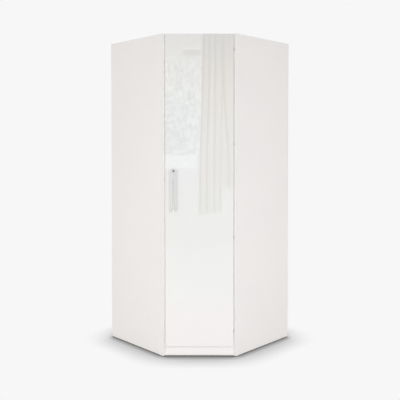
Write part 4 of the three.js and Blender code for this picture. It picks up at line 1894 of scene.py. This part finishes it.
@dataclass(frozen=True)
class MirrorCard:
    """A glowing card for the gloss front and the chrome to mirror.

    It shows in mirrors alone: the camera doesn't see it, and it lights nothing.

    Attributes:
        name: The card's name.
    """

    name: str

    def corners(self) -> list[Point]:
        """Returns the card's four corners. Every sort of card has its own."""
        raise NotImplementedError

    def tone(self, canvas: Canvas) -> Tone:
        """Returns the card's brightness. Every sort of card has its own."""
        raise NotImplementedError

    def build(self) -> None:
        """Puts the card up."""
        material, canvas = new_material(self.name)
        glow = canvas.add("ShaderNodeEmission", {"Color": self.tone(canvas)})
        canvas.add("ShaderNodeOutputMaterial", {"Surface": glow.outputs[0]})
        mesh = bpy.data.meshes.new(self.name)
        mesh.from_pydata(self.corners(), [], [(0, 1, 2, 3)])
        mesh.materials.append(material)
        card = link(self.name, mesh)
        for ray in ("camera", "diffuse", "transmission", "volume_scatter", "shadow"):
            setattr(card, "visible_" + ray, False)


@dataclass(frozen=True)
class TallCard(MirrorCard):
    """A tall card behind the camera, with a plain and a fluted part.

    Every place on it is given by the place on the door where the camera sees it mirrored. A straight line
    on it is given by its change per metre and its place at zero. A bump on it is given by its middle, how
    far from there it keeps its height, how far it reaches, and its height.

    Attributes:
        camera: The camera that the card is laid out for.
        distance: How far the card stands in front of the door.
        half_width: Half the card's width.
        foot: How far the card stays over the floor.
        top: The card's top.
        border: The brightness that the card fades to at its edges.
        side_fade: How far inside its sides the fading starts and ends.
        top_fade: The height where the fading starts, and how far under the top it ends.
        heights: Heights for the tones of the plain and of the fluted part.
        plain: The brightness of the plain part at those heights.
        fluted: The brightness of the fluted part at those heights.
        bar: The lower edge, upper edge and right end of a bright bar.
        bar_tone: Its brightness.
        bar_softness: How soft its upper and lower edges, and its end, are.
        mottle_swing: How much the mottling changes the plain part.
        mottle_grain: How fine the mottling is: its scale, detail, roughness and distortion.
        mottle_band: The noise values between which the mottling changes.
        mottle_top: Where the mottling ends, and how softly.
        mottle_softness: How softly the mottling starts over the bar.
        bright_line: The bump of a thin bright line.
        dim_line: The bump of the dim band under it.
        line_width: The bump of both lines across the door.
        flute_swing: How much the flutes change the brightness.
        flute_middle: Where across the door the flutes fan out from.
        flute_opening: The line of how wide they are by height.
        flute_scale: How many flutes there are.
        flute_band: The noise values between which the flutes change, and the change at each.
        streak_heights: Between which heights the dark streaks lean.
        streaks: Their places low down and high up, half widths and depths.
        streak_core: How much of its half width a streak keeps its depth.
        fluted_left: The line of the fluted part's left edge by height.
        fluted_foot: The line of its foot across the door.
        step: Where across the door its foot steps up, and the height of the foot from there on.
        edge_softness: How soft the edges of the fluted part, and of its step, are.
    """

    name: str = "tall_card"
    camera: PhotoCamera = PhotoCamera()
    distance: float = 4.3
    half_width: float = 0.42
    foot: float = 0.01
    top: float = 2.45
    border: Color = (0.93, 0.93, 0.93)
    side_fade: tuple[float, float] = (0.12, 0.01)
    top_fade: tuple[float, float] = (2.15, 0.02)
    heights: tuple[float, ...] = (0.95, 1.47, 1.78, 2.08)
    plain: tuple[Color, ...] = (
        (0.83, 0.90, 0.90),
        (0.66, 0.84, 0.91),
        (0.75, 0.87, 0.84),
        (0.60, 0.60, 0.58),
    )
    fluted: tuple[Color, ...] = (
        (0.54, 0.58, 0.48),
        (0.60, 0.58, 0.49),
        (0.55, 0.46, 0.29),
        (0.20, 0.18, 0.13),
    )
    bar: tuple[float, float, float] = (1.230, 1.315, -0.020)
    bar_tone: Color = (1.07, 1.15, 1.26)
    bar_softness: tuple[float, float] = (MM, 4 * MM)
    mottle_swing: float = 0.62
    mottle_grain: tuple[float, float, float, float] = (26.0, 8.0, 0.72, 1.4)
    mottle_band: tuple[float, float] = (0.44, 0.56)
    mottle_top: tuple[float, float] = (1.955, 25 * MM)
    mottle_softness: float = 5 * MM
    bright_line: tuple[float, float, float, float] = (2.0045, 1 * MM, 6 * MM, 0.6)
    dim_line: tuple[float, float, float, float] = (1.9755, 15 * MM, 23 * MM, 0.6)
    line_width: tuple[float, float, float, float] = (-0.050, 52 * MM, 64 * MM, 1.0)
    flute_swing: float = 0.34
    flute_middle: float = 0.07
    flute_opening: tuple[float, float] = (-0.6, 2.16)
    flute_scale: float = 90.0
    flute_band: tuple[float, float, float, float] = (0.3, 0.7, -0.1, 0.3)
    streak_heights: tuple[float, float] = (1.15, 1.94)
    streaks: tuple[tuple[float, float, float, float], ...] = (
        (0.006, 0.026, 0.011, 1.1),
        (0.047, 0.063, 0.010, 1.2),
        (0.096, 0.101, 0.010, 1.2),
        (0.190, 0.151, 0.012, 1.2),
        (0.136, 0.148, 0.008, 1.0),
    )
    streak_core: float = 0.15
    fluted_left: tuple[float, float] = (0.0256, -0.0345)
    fluted_foot: tuple[float, float] = (0.155, 0.927)
    step: tuple[float, float] = (0.146, 1.099)
    edge_softness: tuple[float, float] = (2 * MM, 3 * MM)

    @property
    def spread(self) -> float:
        """How many times larger the card is than its mirror image on the door."""
        return (self.camera.away + self.distance) / self.camera.away

    def corners(self) -> list[Point]:
        """Works out the corners from the card's mirror image.

        Returns:
            The corners.
        """
        eye = self.camera.place()
        y = eye.y + self.camera.away - self.distance
        left, right = (eye.x + (side - eye.x) * self.spread for side in (-self.half_width, self.half_width))
        high = eye.z + (self.top - eye.z) * self.spread
        return [(left, y, self.foot), (right, y, self.foot), (right, y, high), (left, y, high)]

    def tone(self, canvas: Canvas) -> Socket:
        """Works out the card's brightness.

        Args:
            canvas: The card's canvas.

        Returns:
            The colour.
        """
        eye, shrink = self.camera.place(), 1.0 / self.spread
        offset = (eye.x * (1.0 - shrink), 0.0, eye.z * (1.0 - shrink))
        inputs = {"Vector": canvas.place(), "Location": offset, "Scale": (shrink, 1.0, shrink)}
        door = canvas.add("ShaderNodeMapping", inputs).outputs["Vector"]
        x, _, z = canvas.split(door)
        change = canvas.math("ADD", self.mottle(canvas, door, z), self.line(canvas, x, z))
        plain = self.brighter(canvas, self.tones(canvas, z, self.plain), change, self.mottle_swing)
        plain = canvas.mix(self.in_bar(canvas, x, z), plain, self.bar_tone)
        change = self.flutes(canvas, x, z)
        fluted = self.brighter(canvas, self.tones(canvas, z, self.fluted), change, self.flute_swing)
        tone = canvas.mix(self.fluted_part(canvas, x, z), plain, fluted)
        start, end = (self.half_width - inset for inset in self.side_fade)
        aside = canvas.ramp(canvas.math("ABSOLUTE", x), start, end)
        start, under = self.top_fade
        edge = canvas.math("MAXIMUM", aside, canvas.ramp(z, start, self.top - under))
        return canvas.mix(edge, tone, self.border)

    def tones(self, canvas: Canvas, z: Socket, colors: Sequence[Color]) -> Socket:
        """Adds a run of tones over the door's height.

        Args:
            canvas: The card's canvas.
            z: The height on the door.
            colors: The tone at each of the card's heights.

        Returns:
            The colour.
        """
        low, high = self.heights[0], self.heights[-1]
        inputs = {"Value": z, "From Min": low, "From Max": high}
        share = canvas.add("ShaderNodeMapRange", inputs).outputs["Result"]
        stops = [((height - low) / (high - low), color) for height, color in zip(self.heights, colors)]
        return canvas.color_run(share, stops)

    @staticmethod
    def brighter(canvas: Canvas, color: Socket, change: Socket, swing: float) -> Socket:
        """Adds a change of brightness to a colour.

        Args:
            canvas: The card's canvas.
            color: The colour before.
            change: The change, mostly between minus one half and one half.
            swing: What the change is multiplied with.

        Returns:
            The colour.
        """
        amount = canvas.product(change, swing)
        triple = canvas.add("ShaderNodeCombineXYZ", {"X": amount, "Y": amount, "Z": amount}).outputs[0]
        total = canvas.add("ShaderNodeVectorMath", {0: color, 1: triple}, operation="ADD").outputs[0]
        return canvas.add("ShaderNodeVectorMath", {0: total, 1: (0, 0, 0)}, operation="MAXIMUM").outputs[0]

    def mottle(self, canvas: Canvas, door: Socket, z: Socket) -> Socket:
        """Adds the faint mottling of the plain part over the bar.

        Args:
            canvas: The card's canvas.
            door: The place on the door.
            z: The height on the door.

        Returns:
            The change of brightness.
        """
        scale, detail, roughness, distortion = self.mottle_grain
        noise = canvas.noise(door, scale, detail, Roughness=roughness, Distortion=distortion)
        swing = canvas.ramp(noise, *self.mottle_band, -0.5, 0.5)
        over_bar = canvas.above(z, self.bar[1], self.mottle_softness)
        return canvas.product(swing, over_bar, canvas.below(z, *self.mottle_top))

    def line(self, canvas: Canvas, x: Socket, z: Socket) -> Socket:
        """Adds a thin bright line with a dim band under it, high up in the plain part.

        Args:
            canvas: The card's canvas.
            x: The place across the door.
            z: The height on the door.

        Returns:
            The change of brightness.
        """
        bright, dim = canvas.near(z, *self.bright_line), canvas.near(z, *self.dim_line)
        across = canvas.near(x, *self.line_width)
        return canvas.product(canvas.math("SUBTRACT", bright, dim), across)

    def in_bar(self, canvas: Canvas, x: Socket, z: Socket) -> Socket:
        """Adds the mask of the bright bar.

        Args:
            canvas: The card's canvas.
            x: The place across the door.
            z: The height on the door.

        Returns:
            One on the bar, and zero elsewhere.
        """
        low, high, end = self.bar
        soft, end_soft = self.bar_softness
        over, under = canvas.above(z, low, soft), canvas.below(z, high, soft)
        return canvas.product(over, under, canvas.below(x, end, end_soft))

    def flutes(self, canvas: Canvas, x: Socket, z: Socket) -> Socket:
        """Adds flutes that fan out towards the floor: faint ones all over and a few dark streaks.

        Args:
            canvas: The card's canvas.
            x: The place across the door.
            z: The height on the door.

        Returns:
            The change of brightness.
        """
        opening = canvas.math("MULTIPLY_ADD", z, *self.flute_opening)
        across = canvas.math("DIVIDE", canvas.math("SUBTRACT", x, self.flute_middle), opening)
        inputs = {"W": across, "Scale": self.flute_scale, "Detail": 1.0}
        noise = canvas.add("ShaderNodeTexNoise", inputs, noise_dimensions="1D").outputs["Fac"]
        change = canvas.ramp(noise, *self.flute_band)
        rise = canvas.ramp(z, *self.streak_heights)
        for low_x, high_x, half_width, depth in self.streaks:
            middle = canvas.math("MULTIPLY_ADD", rise, high_x - low_x, low_x)
            off = canvas.math("SUBTRACT", x, middle)
            streak = canvas.near(off, 0.0, half_width * self.streak_core, half_width, depth)
            change = canvas.math("SUBTRACT", change, streak)
        return change

    def fluted_part(self, canvas: Canvas, x: Socket, z: Socket) -> Socket:
        """Adds the mask of the fluted part: a long piece and a shorter one to its right.

        Args:
            canvas: The card's canvas.
            x: The place across the door.
            z: The height on the door.

        Returns:
            One on that part, and zero elsewhere.
        """
        soft, step_soft = self.edge_softness
        step_x, step_z = self.step
        left = canvas.math("SUBTRACT", x, canvas.math("MULTIPLY_ADD", z, *self.fluted_left))
        foot = canvas.math("SUBTRACT", z, canvas.math("MULTIPLY_ADD", x, *self.fluted_foot))
        shorter = canvas.above(x, step_x, step_soft)
        long_part = canvas.product(canvas.above(foot, 0.0, soft), canvas.math("SUBTRACT", 1.0, shorter))
        short_part = canvas.product(canvas.above(z, step_z, step_soft), shorter)
        either = canvas.math("MAXIMUM", long_part, short_part)
        return canvas.product(canvas.above(left, 0.0, soft), either)


@dataclass(frozen=True)
class FloorSheet(MirrorCard):
    """A bright sheet in front of the door, just over the floor. It paints the floor's reflection in the
    gloss door and plinth, with a band of painted shade under the door's foot.

    Attributes:
        camera: The camera that the sheet is laid out for.
        half_width: Half its width.
        height: How far it lies over the floor.
        gap: How far before the door's face it starts.
        reach: How far before the door's face it ends.
        stops: Distances from the door's face, and the brightness there. The dark band among them paints the
            shade line on the plinth under the door's foot.
        border: The brightness that the sheet fades to at its sides.
        side_fade: How far from the middle that fading starts and ends.
    """

    name: str = "floor_sheet"
    camera: PhotoCamera = PhotoCamera()
    half_width: float = 1.25
    height: float = 0.002
    gap: float = 0.01
    reach: float = 4.3
    # The dark band from 0.142 to 0.174 paints the shade line that the plinth mirrors just under the door's
    # foot; the stops round it paint the plinth's brighter reflection.
    stops: tuple[tuple[float, Color], ...] = (
        (0.136, (1.58, 1.43, 1.48)),
        (0.142, (0.66, 0.56, 0.61)),
        (0.174, (0.66, 0.56, 0.61)),
        (0.184, (1.42, 1.30, 1.35)),
        (0.90, (1.33, 1.22, 1.26)),
        (1.70, (1.10, 1.21, 1.18)),
        (4.30, (0.84, 0.93, 0.96)),
    )
    border: Color = (0.93, 0.93, 0.93)
    side_fade: tuple[float, float] = (0.7, 1.2)

    @property
    def front(self) -> float:
        """The door's face along Y."""
        return self.camera.place().y + self.camera.away

    def corners(self) -> list[Point]:
        """Works out the corners.

        Returns:
            The corners.
        """
        far, near, z = self.front - self.reach, self.front - self.gap, self.height
        left, right = -self.half_width, self.half_width
        return [(left, far, z), (right, far, z), (right, near, z), (left, near, z)]

    def tone(self, canvas: Canvas) -> Socket:
        """Works out the sheet's brightness.

        Args:
            canvas: The sheet's canvas.

        Returns:
            The colour.
        """
        x, y, _ = canvas.split(canvas.place())
        share = canvas.math("DIVIDE", canvas.math("SUBTRACT", self.front, y), self.reach)
        tone = canvas.color_run(share, [(distance / self.reach, color) for distance, color in self.stops])
        aside = canvas.ramp(canvas.math("ABSOLUTE", x), *self.side_fade)
        return canvas.mix(aside, tone, self.border)


@dataclass(frozen=True)
class Flag(MirrorCard):
    """A dark card that paints dark reflections on the chrome: its dark lines.

    Attributes:
        color: Its brightness.
        start: Its first corner.
        across: How far and which way its first side runs.
        along: How far and which way its second side runs.
    """

    color: Color
    start: Point
    across: Point
    along: Point

    def corners(self) -> list[Point]:
        """Works out the four corners, in order from the first one."""
        start, across, along = Vector(self.start), Vector(self.across), Vector(self.along)
        return [tuple(corner) for corner in (start, start + across, start + across + along, start + along)]

    def tone(self, canvas: Canvas) -> Color:
        """Returns the flag's even brightness."""
        return self.color


# The flags paint dark reflections: the overhead one in the handle's upper bend, the side ones along the
# sides of its bar.
SIDE_FLAG = {"color": (0.46, 0.455, 0.45), "across": (0.0, 2.4, 0.0), "along": (0.0, 0.0, 2.1)}
FLAGS = (
    Flag("overhead_flag", (0.02, 0.02, 0.02), (-3.0, -6.0, 3.2), (6.0, 0.0, 0.0), (0.0, 6.8, 0.0)),
    Flag("left_flag", start=(-2.3, -3.6, 0.2), **SIDE_FLAG),
    Flag("right_flag", start=(2.3, -3.6, 0.2), **SIDE_FLAG),
)


def main() -> None:
    """Builds the wardrobe piece by piece, then the studio round it."""
    logging.basicConfig(level=logging.INFO, format="%(name)s: %(message)s")
    assemblies = (Carcass(), Door(), Hinges(), HangingRail(), SmallFittings())
    surroundings = (Studio(), *LAMPS, TallCard(), FloorSheet(), *FLAGS)
    for maker in (PhotoCamera(), CarriedSolids(), *assemblies, *surroundings):
        maker.build()
        LOG.info("%s is built", type(maker).__name__)


if __name__ == "__main__":
    main()
